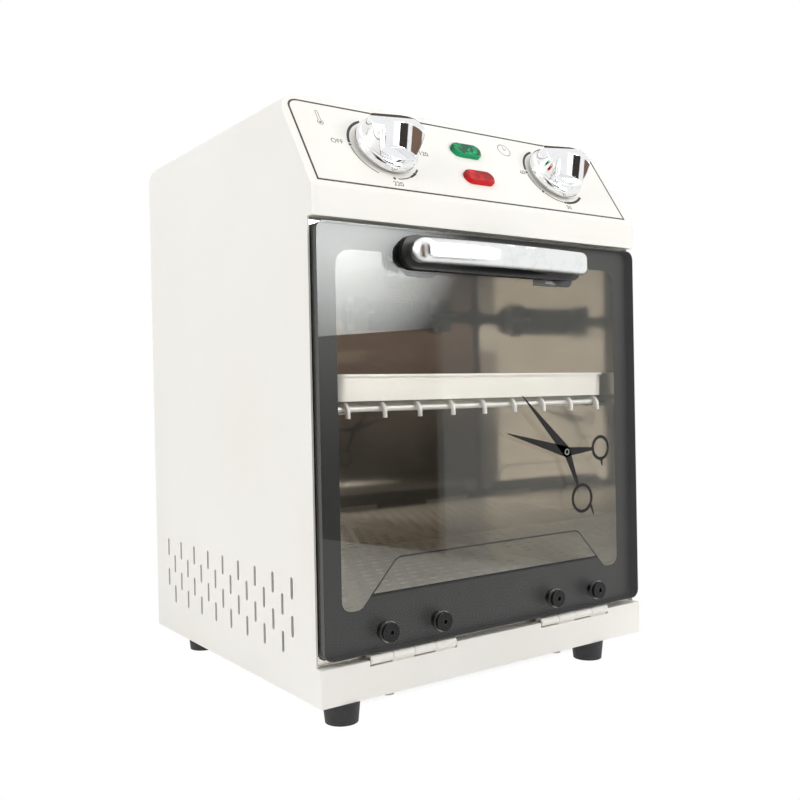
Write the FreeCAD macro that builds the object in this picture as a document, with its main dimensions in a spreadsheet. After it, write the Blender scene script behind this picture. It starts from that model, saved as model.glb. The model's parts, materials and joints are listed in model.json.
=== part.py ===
import FreeCAD, Part
import os
import re
import Sketcher

# A tabletop dry heat sterilizer: a folded steel case on four feet, with a drop-down glass door in front.
# X is to the right, Y to the back, Z up. Z 0 is the surface that the feet stand on; the sizes below
# are in millimetres, and heights inside the case are taken from the underside of the case.

SIZES = {
    # Case sheet metal
    "body_width": 223,
    "body_depth": 210,
    "body_height": 299.5,
    "foot_height": 10.5,
    "gauge": 1,
    "top_round": 13,
    "panel_run": 34.5,
    "panel_rise": 53,
    "header_height": 14.2,
    "sill_height": 18.2,
    "jamb_setback": 4.5,
    "rear_flange": 10,
    "bottom_flange": 26,
    "sill_flange": 11,
    "sheet_fit": 0.2,
    "overrun": 5,
    # Vent slots low in both sides
    "vent_width": 2.4,
    "vent_length": 11,
    "vent_pitch": 20.25,
    "vent_row_pitch": 9.45,
    "vent_low": 24.5,
    "vent_centre": 3.5,
    "vent_rows": 4,
    "vent_columns": 8,
    # Chamber
    "chamber_side_gap": 10.5,
    "chamber_floor": 20,
    "chamber_top_gap": 8.3,
    "chamber_back_gap": 20,
    "liner_gauge": 0.8,
    "liner_setback": 6.5,
    "liner_fit": 0.1,
    # Perforated floor plate over the heater
    "plate_gauge": 0.8,
    "plate_rise": 15,
    "plate_fit": 0.3,
    "plate_inset": 2.5,
    "slot_length": 7,
    "slot_width": 3.2,
    "slot_pitch": 11,
    "slot_row_pitch": 10.8,
    "slot_margin": 8,
    # Heater tube, bent into two hairpins
    "heater_radius": 3.2,
    "heater_rise": 7.5,
    "heater_side_gap": 35,
    "heater_front_gap": 32.5,
    "heater_back_gap": 37,
    "heater_tail": 12,
    "heater_fit": 0.1,
    "fitting_radius": 6,
    "fitting_length": 5,
    "saddle_width": 8,
    "saddle_overhang": 5,
    "saddle_inset": 18,
    "saddle_back_inset": 26,
    "rest_gap": 0.3,
    # Rack and its ledges
    "ledge_width": 17,
    "ledge_leg": 12,
    "shelf_room": 85.4,
    "ledge_inset": 5.5,
    "frame_wire": 1.5,
    "cross_wire": 1.25,
    "wire_sink": 0.4,
    "wire_count": 9,
    "wire_edge": 2.5,
    "rack_side_gap": 10.5,
    "rack_front": 8.5,
    "rack_back_gap": 8.5,
    "hook_bend": 4,
    "hook_drop": 3,
    # Tray
    "tray_side_gap": 5,
    "tray_back_gap": 12,
    "tray_height": 13.4,
    "tray_front": 3.5,
    "tray_gauge": 0.8,
    "tray_round": 8,
    "tray_lip": 1.4,
    "tray_lip_height": 1.2,
    # Insulation
    "pad_gap": 0.3,
    "top_pad": 16,
    "back_pad": 9,
    "side_pad_low": 66,
    "back_pad_low": 48,
    # Door glass, handle and catch
    "glass_side_gap": 1.5,
    "glass_top_gap": 2.2,
    "glass_thick": 5,
    "glass_inset": 4,
    "glass_drop": 3.4,
    "glass_round": 5,
    "pad_border": 2.4,
    "pad_thick": 3,
    "handle_side_gap": 49.4,
    "handle_height": 12.4,
    "handle_drop": 11.9,
    "handle_depth": 13.6,
    "handle_fall": 3,
    "handle_nose": 9,
    "nose_reach": 0.5,
    "grip_end": 25.1,
    "grip_depth": 8,
    "handle_edge": 3.4,
    "handle_screw_end": 9.6,
    "screw_fit": 0.2,
    "m4_radius": 2,
    "m4_reach": 7,
    "strike_width": 18,
    "strike_rise": 4.5,
    "strike_drop": 10.2,
    "strike_thick": 1,
    "magnet_height": 6,
    "magnet_depth": 9,
    "magnet_gap": 0.3,
    "catch_gauge": 1.5,
    "catch_foot": 10,
    "seal_width": 5,
    "seal_gap": 0.2,
    "seal_margin": 1.5,
    # Hinges
    "hinge_side_gap": 54.5,
    "hinge_width": 53,
    "knuckle_count": 4,
    "knuckle_radius": 2.6,
    "knuckle_gap": 0.3,
    "pin_radius": 1.2,
    "pin_fit": 0.05,
    "pin_inset": 2,
    "leaf_thick": 1.3,
    "door_leaf_rise": 20,
    "body_leaf_drop": 15,
    "leaf_gap": 0.4,
    "notch_gap": 0.6,
    "notch_depth": 3,
    "door_screw_x": 16.6,
    "door_screw_rise": 12.8,
    "washer_radius": 5.3,
    "washer_thick": 1,
    "cap_head_radius": 3.6,
    "disc_head_radius": 4.9,
    "disc_head_height": 2,
    "hex_flats": 2.6,
    "hex_depth": 1.2,
    # Feet and small screws
    "foot_top_radius": 9.3,
    "foot_bottom_radius": 8.2,
    "foot_side_gap": 15.5,
    "near_foot_shift": 21.5,
    "foot_front": 8,
    "foot_back": 36,
    "foot_recess": 5,
    "foot_bore": 4.2,
    "small_radius": 1.6,
    "small_reach": 4,
    "pan_radius": 3.2,
    "pan_height": 2,
    "case_screw_side_gap": 41.5,
    "far_screw_shift": 24,
    "case_screw_inset": 6,
    "side_screw_inset": 7,
    "side_screw_front": 26,
    "side_screw_rear": 60,
    "rear_screw_inset": 6,
    "rear_screw_low": 30,
    "rear_screw_high_gap": 39.5,
    "rear_screw_side_gap": 56.5,
    # Controls, measured on the slanted panel from its foot
    "knob_side_gap": 51.5,
    "knob_shift": 1.5,
    "knob_up": 31.5,
    "knob_gap": 0.8,
    "skirt_radius": 17.8,
    "skirt_height": 6,
    "skirt_round": 2.4,
    "knob_low_radius": 16.2,
    "knob_top_radius": 14.4,
    "knob_top": 19.5,
    "roof_radius": 22,
    "roof_middle": 16.9,
    "roof_tilt": 6.5,
    "scoop_radius": 18.5,
    "scoop_lean": 49,
    "scoop_reach": 5.6,
    "scoop_floor": 9,
    "knob_hollow": 11,
    "hollow_top": 5.6,
    "shaft_radius": 3,
    "shaft_fit": 0.02,
    "running_fit": 0.05,
    "shaft_reach": 9.5,
    "shaft_depth": 14,
    "bush_radius": 4.7,
    "bush_fit": 0.15,
    "bush_rise": 3.4,
    "nut_flats": 14,
    "nut_height": 2.2,
    "thermostat_radius": 17,
    "thermostat_depth": 20,
    "timer_radius": 19,
    "timer_depth": 26,
    "lens_x": 0,
    "green_up": 41,
    "red_up": 20.7,
    "lens_width": 20.5,
    "lens_height": 9.6,
    "lens_rise": 2.4,
    "lens_edge": 0.9,
    "stem_radius": 3.6,
    "stem_depth": 6,
    "stem_fit": 0.2,
    "holder_width": 15,
    "holder_height": 12,
    "holder_depth": 12,
    # Things behind and below the chamber
    "bulb_radius": 2.4,
    "bulb_length": 70,
    "bulb_x": 30,
    "bulb_y": 10,
    "capillary_radius": 0.8,
    "bulb_clip_count": 2,
    "bulb_clip_width": 6,
    "bulb_clip_wall": 0.8,
    "cutout_radius": 8,
    "cutout_height": 9,
    "cutout_x": 45,
    "cutout_y": 40,
    "terminal_width": 52,
    "terminal_depth": 17,
    "terminal_height": 13,
    "terminal_x": 30,
    "terminal_y": 60,
    "terminal_screw": 1.8,
    "terminal_ways": 4,
    "terminal_step": 12,
    "gland_x": 40,
    "gland_z": 26,
    "gland_bore": 3.6,
    "gland_thread": 6,
    "gland_flats": 17,
    "gland_flange": 5,
    "gland_nose": 12.6,
    "gland_nose_radius": 7.6,
    "gland_tip_radius": 6,
    "gland_nut_thick": 3,
    "gland_inside": 5,
}

PLACES = {
    "front_y": "-body_depth / 2",
    "back_y": "body_depth / 2",
    "side_x": "body_width / 2",
    "inner_x": "side_x - gauge",
    "slant": "atan(panel_rise / panel_run)",
    "panel_fold": "90 deg - slant",
    "panel_low": "body_height - panel_rise",
    "header_low": "panel_low - header_height",
    "jamb_y": "front_y + jamb_setback",
    "liner_y": "front_y + liner_setback",
    "flange_y": "back_y - 2 * gauge",
    "under_x": "side_x - bottom_flange",
    "chamber_half": "side_x - chamber_side_gap",
    "chamber_ceiling": "header_low - chamber_top_gap",
    "chamber_back": "back_y - chamber_back_gap",
    "glass_back": "front_y + glass_inset",
    "glass_front": "glass_back - glass_thick",
    "glass_low": "sill_height + glass_drop",
    "glass_high": "header_low - glass_top_gap",
    "glass_half": "side_x - glass_side_gap",
    "pin_y": "front_y + pin_inset",
    "notch_low": "sill_height - notch_depth",
    "door_screw_z": "sill_height + door_screw_rise",
    "handle_z": "glass_high - handle_drop",
    "handle_half": "glass_half - handle_side_gap",
    "handle_screw_x": "handle_half - handle_screw_end",
    "grip_half": "handle_half - grip_end",
    "pad_half": "handle_half + pad_border",
    "pad_height": "handle_height + 2 * pad_border",
    "pad_front": "glass_front - pad_thick",
    "handle_front": "pad_front - handle_depth",
    "hinge_x": "side_x - hinge_side_gap",
    "knuckle_length": "(hinge_width - (knuckle_count - 1) * knuckle_gap) / knuckle_count",
    "ledge_top": "chamber_ceiling - shelf_room",
    "frame_wire_z": "ledge_top + rest_gap + frame_wire",
    "cross_wire_z": "frame_wire_z + frame_wire + cross_wire - wire_sink",
    "tray_z": "cross_wire_z + cross_wire + rest_gap",
    "rack_y": "liner_y + rack_front - frame_wire",
    "rack_half": "chamber_half - rack_side_gap",
    "rack_depth": "chamber_back - rack_back_gap - rack_y",
    "wire_pitch": "2 * (rack_half - wire_edge) / (wire_count - 1)",
    "tray_y": "liner_y + tray_front",
    "tray_back": "chamber_back - tray_back_gap",
    "tray_half": "chamber_half - tray_side_gap",
    "heater_height": "chamber_floor + heater_rise",
    "heater_bend": "(chamber_half - heater_side_gap) / 3",
    "heater_front": "liner_y + heater_front_gap",
    "heater_rear": "chamber_back - heater_back_gap",
    "plate_top": "chamber_floor + plate_rise",
    "plate_y": "liner_y + plate_inset",
    "plate_back": "chamber_back - plate_fit",
    "plate_half": "chamber_half - plate_fit",
    "bulb_z": "chamber_ceiling + liner_gauge + rest_gap + bulb_radius",
    "foot_x": "side_x - foot_side_gap",
    "near_foot_x": "foot_x - near_foot_shift",
    "foot_front_y": "front_y + foot_front",
    "foot_back_y": "back_y - foot_back",
    "side_screw_x": "side_x - side_screw_inset",
    "side_screw_front_y": "front_y + side_screw_front",
    "side_screw_rear_y": "back_y - side_screw_rear",
    "case_screw_x": "side_x - case_screw_side_gap",
    "far_screw_x": "case_screw_x - far_screw_shift",
    "rear_screw_high": "body_height - rear_screw_high_gap",
    "rear_screw_middle": "(rear_screw_low + rear_screw_high) / 2",
    "rear_screw_x": "side_x - rear_screw_side_gap",
    "left_knob_x": "knob_shift + knob_side_gap - side_x",
    "right_knob_x": "knob_shift + side_x - knob_side_gap",
    "rear_screw_side": "inner_x - rear_screw_inset",
    "pan_bore": "small_radius + screw_fit",
    "m4_bore": "m4_radius + screw_fit",
}

X_AXIS = FreeCAD.Vector(1, 0, 0)
Y_AXIS = FreeCAD.Vector(0, 1, 0)
Z_AXIS = FreeCAD.Vector(0, 0, 1)

doc = FreeCAD.newDocument("DryHeatSterilizer")
nodes = []


def named(text):
    """The same formula with the sheet's name before each of its words."""
    def spell(match):
        word = match.group()
        if word in SIZES:
            return "Sizes." + word
        if word in PLACES:
            return "Places." + word
        return word
    return re.sub(r"[a-z_]\w*", spell, text)


def fill_sheet(name, cells):
    """A sheet with a word and its cell on each row."""
    sheet = doc.addObject("Spreadsheet::Sheet", name)
    for row, (word, content) in enumerate(cells.items(), start=1):
        sheet.set(f"A{row}", word)
        sheet.set(f"B{row}", str(content))
        sheet.setAlias(f"B{row}", word)
    return sheet


sizes = fill_sheet("Sizes", SIZES)
places = fill_sheet("Places", {word: "=" + named(text) for word, text in PLACES.items()})
doc.recompute()


def value(text):
    """The number that a formula gives now."""
    return float(sizes.evalExpression(named(text)))


# Small makers: every size and place is a formula of the sheet's words


def bind(item, **formulas):
    for prop, text in formulas.items():
        item.setExpression(prop, named(text))


def put(item, x="0", y="0", z="0"):
    for letter, text in (("x", x), ("y", y), ("z", z)):
        if text != "0":
            item.setExpression("Placement.Base." + letter, named(text))


def box(name, low, high):
    """A block between two corners."""
    item = doc.addObject("Part::Box", name)
    put(item, *low)
    bind(
        item,
        Length=f"({high[0]}) - ({low[0]})",
        Width=f"({high[1]}) - ({low[1]})",
        Height=f"({high[2]}) - ({low[2]})",
    )
    return item


def turn_along(item, axis):
    if axis == "x":
        item.Placement.Rotation = FreeCAD.Rotation(Z_AXIS, X_AXIS)
    if axis == "y":
        item.Placement.Rotation = FreeCAD.Rotation(Z_AXIS, Y_AXIS)


def rod(name, start, radius, length, axis="z"):
    """A round bar from its start along an axis."""
    item = doc.addObject("Part::Cylinder", name)
    turn_along(item, axis)
    put(item, *start)
    bind(item, Radius=radius, Height=length)
    return item


def cone(name, start, low_radius, high_radius, length, axis="z"):
    item = doc.addObject("Part::Cone", name)
    turn_along(item, axis)
    put(item, *start)
    bind(item, Radius1=low_radius, Radius2=high_radius, Height=length)
    return item


def hexagon(name, start, flats, length, axis="z"):
    """A six-sided bar."""
    item = doc.addObject("Part::Prism", name)
    item.Polygon = 6
    turn_along(item, axis)
    put(item, *start)
    bind(item, Circumradius=f"{flats} / sqrt(3)", Height=length)
    return item


def fused(name, *items):
    if len(items) == 1:
        return items[0]
    item = doc.addObject("Part::MultiFuse", name)
    item.Shapes = list(items)
    item.Refine = True
    return item


def cut(name, base, *tools):
    item = doc.addObject("Part::Cut", name)
    item.Base = base
    item.Tool = fused(name + "_tools", *tools)
    item.Refine = True
    return item


def common(name, first, second):
    item = doc.addObject("Part::Common", name)
    item.Base = first
    item.Tool = second
    item.Refine = True
    return item


def group(name, items):
    """Separate solids that are one node."""
    item = doc.addObject("Part::Compound", name)
    item.Links = list(items)
    return item


def mirrored(name, source):
    item = doc.addObject("Part::Mirroring", name)
    item.Source = source
    item.Normal = X_AXIS
    return item


def both_sides(name, source):
    return group(name, [source, mirrored(name + "_other", source)])


def profile(name, role, points, length):
    """A body padded from an outline on an origin plane: XY goes up, XZ to the front, YZ to the right."""
    body = doc.addObject("PartDesign::Body", name)
    plane = next(item for item in body.Origin.OriginFeatures if item.Role == role)
    outline = body.newObject("Sketcher::SketchObject", name + "_outline")
    outline.AttachmentSupport = [(plane, "")]
    outline.MapMode = "FlatFace"
    corners = [FreeCAD.Vector(value(across), value(up), 0) for across, up in points]
    count = len(corners)
    for number, corner in enumerate(corners):
        outline.addGeometry(Part.LineSegment(corner, corners[(number + 1) % count]))
    for number in range(count):
        outline.addConstraint(Sketcher.Constraint("Coincident", number, 2, (number + 1) % count, 1))
    for number, (across, up) in enumerate(points):
        for kind, text in (("DistanceX", across), ("DistanceY", up)):
            rule = outline.addConstraint(Sketcher.Constraint(kind, -1, 1, number, 1, value(text)))
            if text != "0":
                outline.setExpression(f"Constraints[{rule}]", named(text))
    pad = body.newObject("PartDesign::Pad", name + "_pad")
    pad.Profile = outline
    bind(pad, Length=length)
    return body


def dress(body, kind, amount, picks):
    """A fillet or chamfer on the edges that the test picks."""
    doc.recompute()
    last = body.Tip
    edges = [f"Edge{number}" for number, edge in enumerate(last.Shape.Edges, start=1) if picks(edge)]
    feature = body.newObject("PartDesign::" + kind, body.Name + "_" + kind.lower())
    feature.Base = (last, edges)
    bind(feature, **{"Radius" if kind == "Fillet" else "Size": amount})
    return body


def runs_along(edge, axis):
    ends = edge.Vertexes[-1].Point - edge.Vertexes[0].Point
    return len(edge.Vertexes) > 1 and ends.Length > 0 and abs(ends.dot(axis)) > 0.999 * ends.Length


PLANES = {"XY_Plane": Z_AXIS, "XZ_Plane": Y_AXIS, "YZ_Plane": X_AXIS}


def slab(name, role, low, high, length, radius):
    """A plate on a plane with its four corners rounded."""
    points = [(low[0], low[1]), (high[0], low[1]), (high[0], high[1]), (low[0], high[1])]
    body = profile(name, role, points, length)
    return dress(body, "Fillet", radius, lambda edge: runs_along(edge, PLANES[role]))


def stadium(name, centre, half, height, depth, axis):
    """A round-ended bar: its section lies across the axis, its long way is along X."""
    x, y, z = centre
    reach = f"({half} - {height} / 2)"
    ends = [
        rod(f"{name}_end_{number}", (f"{x} {sign} {reach}", y, z), f"{height} / 2", depth, axis)
        for number, sign in enumerate("-+")
    ]
    if axis == "y":
        low = (f"{x} - {reach}", y, f"{z} - {height} / 2")
        high = (f"{x} + {reach}", f"{y} + {depth}", f"{z} + {height} / 2")
    else:
        low = (f"{x} - {reach}", f"{y} - {height} / 2", z)
        high = (f"{x} + {reach}", f"{y} + {height} / 2", f"{z} + {depth}")
    return fused(name, box(name + "_middle", low, high), *ends)


def eased(name, kind, base, amount, picks):
    """A Part fillet or chamfer on the edges that the test picks."""
    doc.recompute()
    width = value(amount)
    item = doc.addObject("Part::" + kind, name)
    item.Base = base
    item.Edges = [
        (number, width, width) for number, edge in enumerate(base.Shape.Edges, start=1) if picks(edge)
    ]
    return item


def arch(name, half, low, high, radius, back, depth):
    """A block with both upper side edges rounded, from its back towards the front."""
    points = [(f"-({half})", low), (half, low), (half, high), (f"-({half})", high)]
    body = profile(name, "XZ_Plane", points, depth)
    put(body, y=back)
    middle = (value(low) + value(high)) / 2
    dress(
        body, "Fillet", radius, lambda edge: runs_along(edge, Y_AXIS) and edge.CenterOfMass.z > middle
    )
    return body


def holes(name, spots, radius, length, axis):
    """Drills for one screw pattern."""
    return group(name, [rod(f"{name}_{n}", spot, radius, length, axis) for n, spot in enumerate(spots)])


def screws(name, spots, shank, length, head, height, axis, outward):
    """One screw on each spot: the spot is where the head's seat is, and the shank goes along the axis."""
    made = []
    for number, spot in enumerate(spots):
        seat = dict(zip("xyz", spot))
        top = dict(seat)
        if outward:
            top[axis] = f"{seat[axis]} - ({height})"
        else:
            seat[axis] = f"{seat[axis]} - ({length})"
        pin = rod(f"{name}_shank_{number}", tuple(seat.values()), shank, length, axis)
        cap = rod(f"{name}_head_{number}", tuple(top.values()), head, height, axis)
        made.append(fused(f"{name}_{number}", pin, cap))
    return made


def node(label, item, x="0", y="0", z="0"):
    """A finished sub-part, lifted from the case's own heights by the feet."""
    item.Label = label
    put(item, x, y, f"foot_height + {z}")
    nodes.append(item)
    return item


def on_panel(item, x, up, out="0", lift="0"):
    """Lays an item on the slanted panel: x across, up the slope, out of the face."""
    item.Placement.Rotation = FreeCAD.Rotation(X_AXIS, 50)
    item.setExpression("Placement.Rotation.Angle", "Places.slant")
    put(
        item,
        x,
        f"front_y + ({up}) * cos(slant) - ({out}) * sin(slant)",
        f"{lift} + panel_low + ({up}) * sin(slant) + ({out}) * cos(slant)",
    )
    return item


def panel_node(label, item, x, up):
    item.Label = label
    nodes.append(on_panel(item, x, up, lift="foot_height"))
    return item


# Screw patterns, shared by the screws and by every sheet that they go through

SIDES = {"left": "-", "right": ""}
FEET = {
    "front_left": ("-foot_x", "foot_front_y"),
    "front_right": ("near_foot_x", "foot_front_y"),
    "back_left": ("-foot_x", "foot_back_y"),
    "back_right": ("foot_x", "foot_back_y"),
}
SIDE_SCREWS = [
    ("-side_screw_x", "side_screw_front_y"),
    ("side_screw_x", "side_screw_front_y"),
    ("-side_screw_x", "side_screw_rear_y"),
    ("side_screw_x", "side_screw_rear_y"),
]
SILL_SCREWS = [(x, "front_y + case_screw_inset") for x in ("-case_screw_x", "far_screw_x")]
REAR_SCREWS = [
    (f"{side}rear_screw_side", height)
    for side in SIDES.values()
    for height in ("rear_screw_low", "rear_screw_middle", "rear_screw_high")
] + [(f"{side}rear_screw_x", "body_height - gauge - rear_screw_inset") for side in SIDES.values()]
HINGES = {"left": "-hinge_x", "right": "hinge_x"}
DOOR_SCREWS = [
    (f"{centre} {sign} door_screw_x", "door_screw_z")
    for centre in HINGES.values()
    for sign in "-+"
]
HANDLE_SCREWS = [("-handle_screw_x", "handle_z"), ("handle_screw_x", "handle_z")]


def upright(spots, start):
    return [(x, y, start) for x, y in spots]


def level(spots, start):
    return [(x, start, z) for x, z in spots]


# Case


def front_void():
    """What lies in front of the wrap's own front edge, seen from the side."""
    points = [
        ("front_y - overrun", "-overrun"),
        ("front_y + gauge", "-overrun"),
        ("front_y + gauge", "sill_height"),
        ("jamb_y", "sill_height"),
        ("jamb_y", "header_low"),
        ("front_y + gauge", "header_low"),
        ("front_y + gauge", "panel_low - gauge * tan(panel_fold / 2)"),
        ("front_y + panel_run + gauge / sin(slant) + overrun / tan(slant)", "body_height + overrun"),
        ("front_y - overrun", "body_height + overrun"),
    ]
    void = profile("wrap_front_void", "YZ_Plane", points, "body_width + 2 * overrun")
    put(void, x="-side_x - overrun")
    return void


def pill(length, width, depth):
    """A round-ended bar lying along X, its slot section standing along Z."""
    half = (length - width) / 2
    radius = width / 2
    lower = Part.Arc(
        FreeCAD.Vector(0, -radius, -half),
        FreeCAD.Vector(0, 0, -half - radius),
        FreeCAD.Vector(0, radius, -half),
    )
    upper = Part.Arc(
        FreeCAD.Vector(0, radius, half),
        FreeCAD.Vector(0, 0, half + radius),
        FreeCAD.Vector(0, -radius, half),
    )
    right = Part.LineSegment(FreeCAD.Vector(0, radius, -half), FreeCAD.Vector(0, radius, half))
    left = Part.LineSegment(FreeCAD.Vector(0, -radius, half), FreeCAD.Vector(0, -radius, -half))
    wire = Part.Wire([lower.toShape(), right.toShape(), upper.toShape(), left.toShape()])
    return Part.Face(wire).extrude(FreeCAD.Vector(depth, 0, 0))


def vent_slots():
    """Four staggered rows of upright slots, cut through both sides at once."""
    made = []
    reach = value("side_x + overrun")
    for row in range(int(value("vent_rows"))):
        count = int(value("vent_columns")) + row % 2
        for number in range(count):
            slot = pill(value("vent_length"), value("vent_width"), 2 * reach)
            along = value("vent_centre") + (number - (count - 1) / 2) * value("vent_pitch")
            slot.translate(
                FreeCAD.Vector(-reach, along, value("vent_low") + row * value("vent_row_pitch"))
            )
            made.append(slot)
    item = doc.addObject("Part::Feature", "vent_slots")
    item.Shape = Part.makeCompound(made)
    return item


def make_case():
    block = arch("case_block", "side_x", "0", "body_height", "top_round", "back_y", "body_depth")
    room = arch(
        "case_room",
        "inner_x",
        "gauge",
        "body_height - gauge",
        "top_round - gauge",
        "flange_y",
        "body_depth + overrun",
    )
    recess = arch(
        "case_recess",
        "inner_x",
        "gauge",
        "body_height - gauge",
        "top_round - gauge",
        "back_y + overrun",
        "overrun + gauge",
    )
    rear_mouth = box(
        "case_rear_mouth",
        ("rear_flange - inner_x", "flange_y - overrun", "gauge"),
        ("inner_x - rear_flange", "back_y", "body_height - gauge - rear_flange"),
    )
    underside = box(
        "case_underside",
        ("-under_x", "front_y - overrun", "-overrun"),
        ("under_x", "back_y + overrun", "2 * gauge"),
    )
    shell = cut("wrap_shell", block, room, recess, rear_mouth, underside, front_void())
    foot_spots = upright(FEET.values(), "-overrun")
    side_spots = upright(SIDE_SCREWS, "-overrun")
    drills = group(
        "wrap_drills",
        [
            vent_slots(),
            holes("wrap_foot_holes", foot_spots, "m4_bore", "2 * overrun", "z"),
            holes("wrap_side_holes", side_spots, "pan_bore", "2 * overrun", "z"),
            holes(
                "wrap_rear_holes",
                level(REAR_SCREWS, "flange_y - overrun"),
                "pan_bore",
                "2 * overrun",
                "y",
            ),
        ],
    )
    node("outer_wrap", cut("outer_wrap", shell, drills))
    make_front_panel(block)
    make_sill()
    make_base_plate()
    make_back_panel()


def make_front_panel(block):
    """One folded sheet: the slanted panel, the upright header and a return over the door."""
    points = [
        ("front_y", "header_low"),
        ("front_y", "panel_low"),
        ("front_y + panel_run", "body_height"),
        ("front_y + panel_run + gauge / sin(slant)", "body_height"),
        ("front_y + gauge", "panel_low - gauge * tan(panel_fold / 2)"),
        ("front_y + gauge", "header_low"),
    ]
    strip = profile("panel_strip", "YZ_Plane", points, "body_width")
    put(strip, x="-side_x")
    back = box(
        "panel_return",
        ("-inner_x", "front_y", "header_low"),
        ("inner_x", "liner_y + liner_gauge", "header_low + gauge"),
    )
    sheet = common("panel_sheet", fused("panel_folds", strip, back), block)
    tools = []
    for x in ("left_knob_x", "right_knob_x"):
        hole = rod(f"panel_bush_hole_{x}", (), "bush_radius + bush_fit", "2 * overrun")
        tools.append(on_panel(hole, x, "knob_up", "-overrun"))
    for up in ("green_up", "red_up"):
        hole = rod(f"panel_{up}_hole", (), "stem_radius + stem_fit", "2 * overrun")
        tools.append(on_panel(hole, "lens_x", up, "-overrun"))
    node("front_panel", cut("front_panel", sheet, *tools))


def make_sill():
    """The folded bar under the door, notched where the hinges turn."""
    face = box("sill_face", ("-side_x", "front_y", "0"), ("side_x", "front_y + gauge", "sill_height"))
    top = box(
        "sill_top",
        ("-inner_x", "front_y", "sill_height - gauge"),
        ("inner_x", "liner_y + liner_gauge", "sill_height"),
    )
    bottom = box(
        "sill_bottom", ("-under_x", "front_y", "0"), ("under_x", "front_y + sill_flange", "gauge")
    )
    tools = [
        box(
            f"sill_notch_{side}",
            (f"{centre} - hinge_width / 2 - notch_gap", "front_y - overrun", "notch_low"),
            (
                f"{centre} + hinge_width / 2 + notch_gap",
                "glass_back + leaf_thick + notch_gap",
                "sill_height + overrun",
            ),
        )
        for side, centre in HINGES.items()
    ]
    tools.append(
        holes("sill_case_holes", upright(SILL_SCREWS, "-overrun"), "pan_bore", "2 * overrun", "z")
    )
    foot_spot = upright([FEET["front_right"]], "-overrun")
    tools.append(holes("sill_foot_hole", foot_spot, "m4_bore", "2 * overrun", "z"))
    node("sill", cut("sill", fused("sill_folds", face, top, bottom), *tools))


def make_base_plate():
    plate = box(
        "base_sheet", ("-inner_x", "front_y + gauge", "gauge"), ("inner_x", "flange_y", "2 * gauge")
    )
    node(
        "base_plate",
        cut(
            "base_plate",
            plate,
            holes("base_foot_holes", upright(FEET.values(), "-overrun"), "m4_bore", "2 * overrun", "z"),
            holes(
                "base_screw_holes",
                upright(SIDE_SCREWS + SILL_SCREWS, "-overrun"),
                "pan_bore",
                "2 * overrun",
                "z",
            ),
        ),
    )


def make_back_panel():
    sheet = arch(
        "back_sheet",
        "inner_x - sheet_fit",
        "gauge + sheet_fit",
        "body_height - gauge - sheet_fit",
        "top_round - gauge",
        "back_y",
        "gauge",
    )
    node(
        "back_panel",
        cut(
            "back_panel",
            sheet,
            holes(
                "back_screw_holes",
                level(REAR_SCREWS, "flange_y - overrun"),
                "pan_bore",
                "3 * overrun",
                "y",
            ),
            rod(
                "back_gland_hole",
                ("-gland_x", "flange_y", "gland_z"),
                "gland_thread + screw_fit",
                "overrun",
                "y",
            ),
        ),
    )
    spots = level(REAR_SCREWS, "back_y")
    node(
        "back_panel_screws",
        group(
            "back_panel_screws",
            screws(
                "back_screw",
                spots,
                "small_radius",
                "small_reach",
                "pan_radius",
                "pan_height",
                "y",
                False,
            ),
        ),
    )


# Feet and the screws under the case


def make_feet():
    for corner, (x, y) in FEET.items():
        block = cone(
            f"foot_block_{corner}",
            (x, y, "-foot_height"),
            "foot_bottom_radius",
            "foot_top_radius",
            "foot_height",
        )
        bore = rod(
            f"foot_bore_{corner}",
            (x, y, "-foot_height - overrun"),
            "m4_bore",
            "foot_height + 2 * overrun",
        )
        recess = rod(
            f"foot_recess_{corner}",
            (x, y, "-foot_height - overrun"),
            "foot_bore",
            "foot_recess + overrun",
        )
        node(f"foot_{corner}", cut(f"foot_{corner}", block, bore, recess))
    spots = upright(FEET.values(), "foot_recess - foot_height")
    made = screws(
        "foot_screw",
        spots,
        "m4_radius",
        "foot_height - foot_recess + small_reach",
        "cap_head_radius",
        "pan_height",
        "z",
        True,
    )
    node("foot_screws", group("foot_screws", made))
    spots = upright(SIDE_SCREWS + SILL_SCREWS, "0")
    made = screws(
        "case_screw", spots, "small_radius", "small_reach", "pan_radius", "pan_height", "z", True
    )
    node("case_screws", group("case_screws", made))


# Chamber, floor plate and heater


def heater_spots():
    return [f"{side}3 * heater_bend" for side in SIDES.values()]


def make_chamber():
    outer = box(
        "liner_outer",
        ("-chamber_half - liner_gauge", "liner_y", "chamber_floor - liner_gauge"),
        ("chamber_half + liner_gauge", "chamber_back + liner_gauge", "chamber_ceiling + liner_gauge"),
    )
    flange = box(
        "liner_flange",
        ("liner_fit - inner_x", "liner_y", "sill_height"),
        ("inner_x - liner_fit", "liner_y + liner_gauge", "header_low"),
    )
    inside = box(
        "liner_inside",
        ("-chamber_half", "liner_y - overrun", "chamber_floor"),
        ("chamber_half", "chamber_back", "chamber_ceiling"),
    )
    tails = [
        rod(
            f"liner_tail_hole_{n}",
            (x, "chamber_back - overrun", "heater_height"),
            "heater_radius + heater_fit",
            "2 * overrun",
            "y",
        )
        for n, x in enumerate(heater_spots())
    ]
    node("chamber_liner", cut("chamber_liner", fused("liner_folds", outer, flange), inside, *tails))
    make_floor_plate()
    make_heater()


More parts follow.
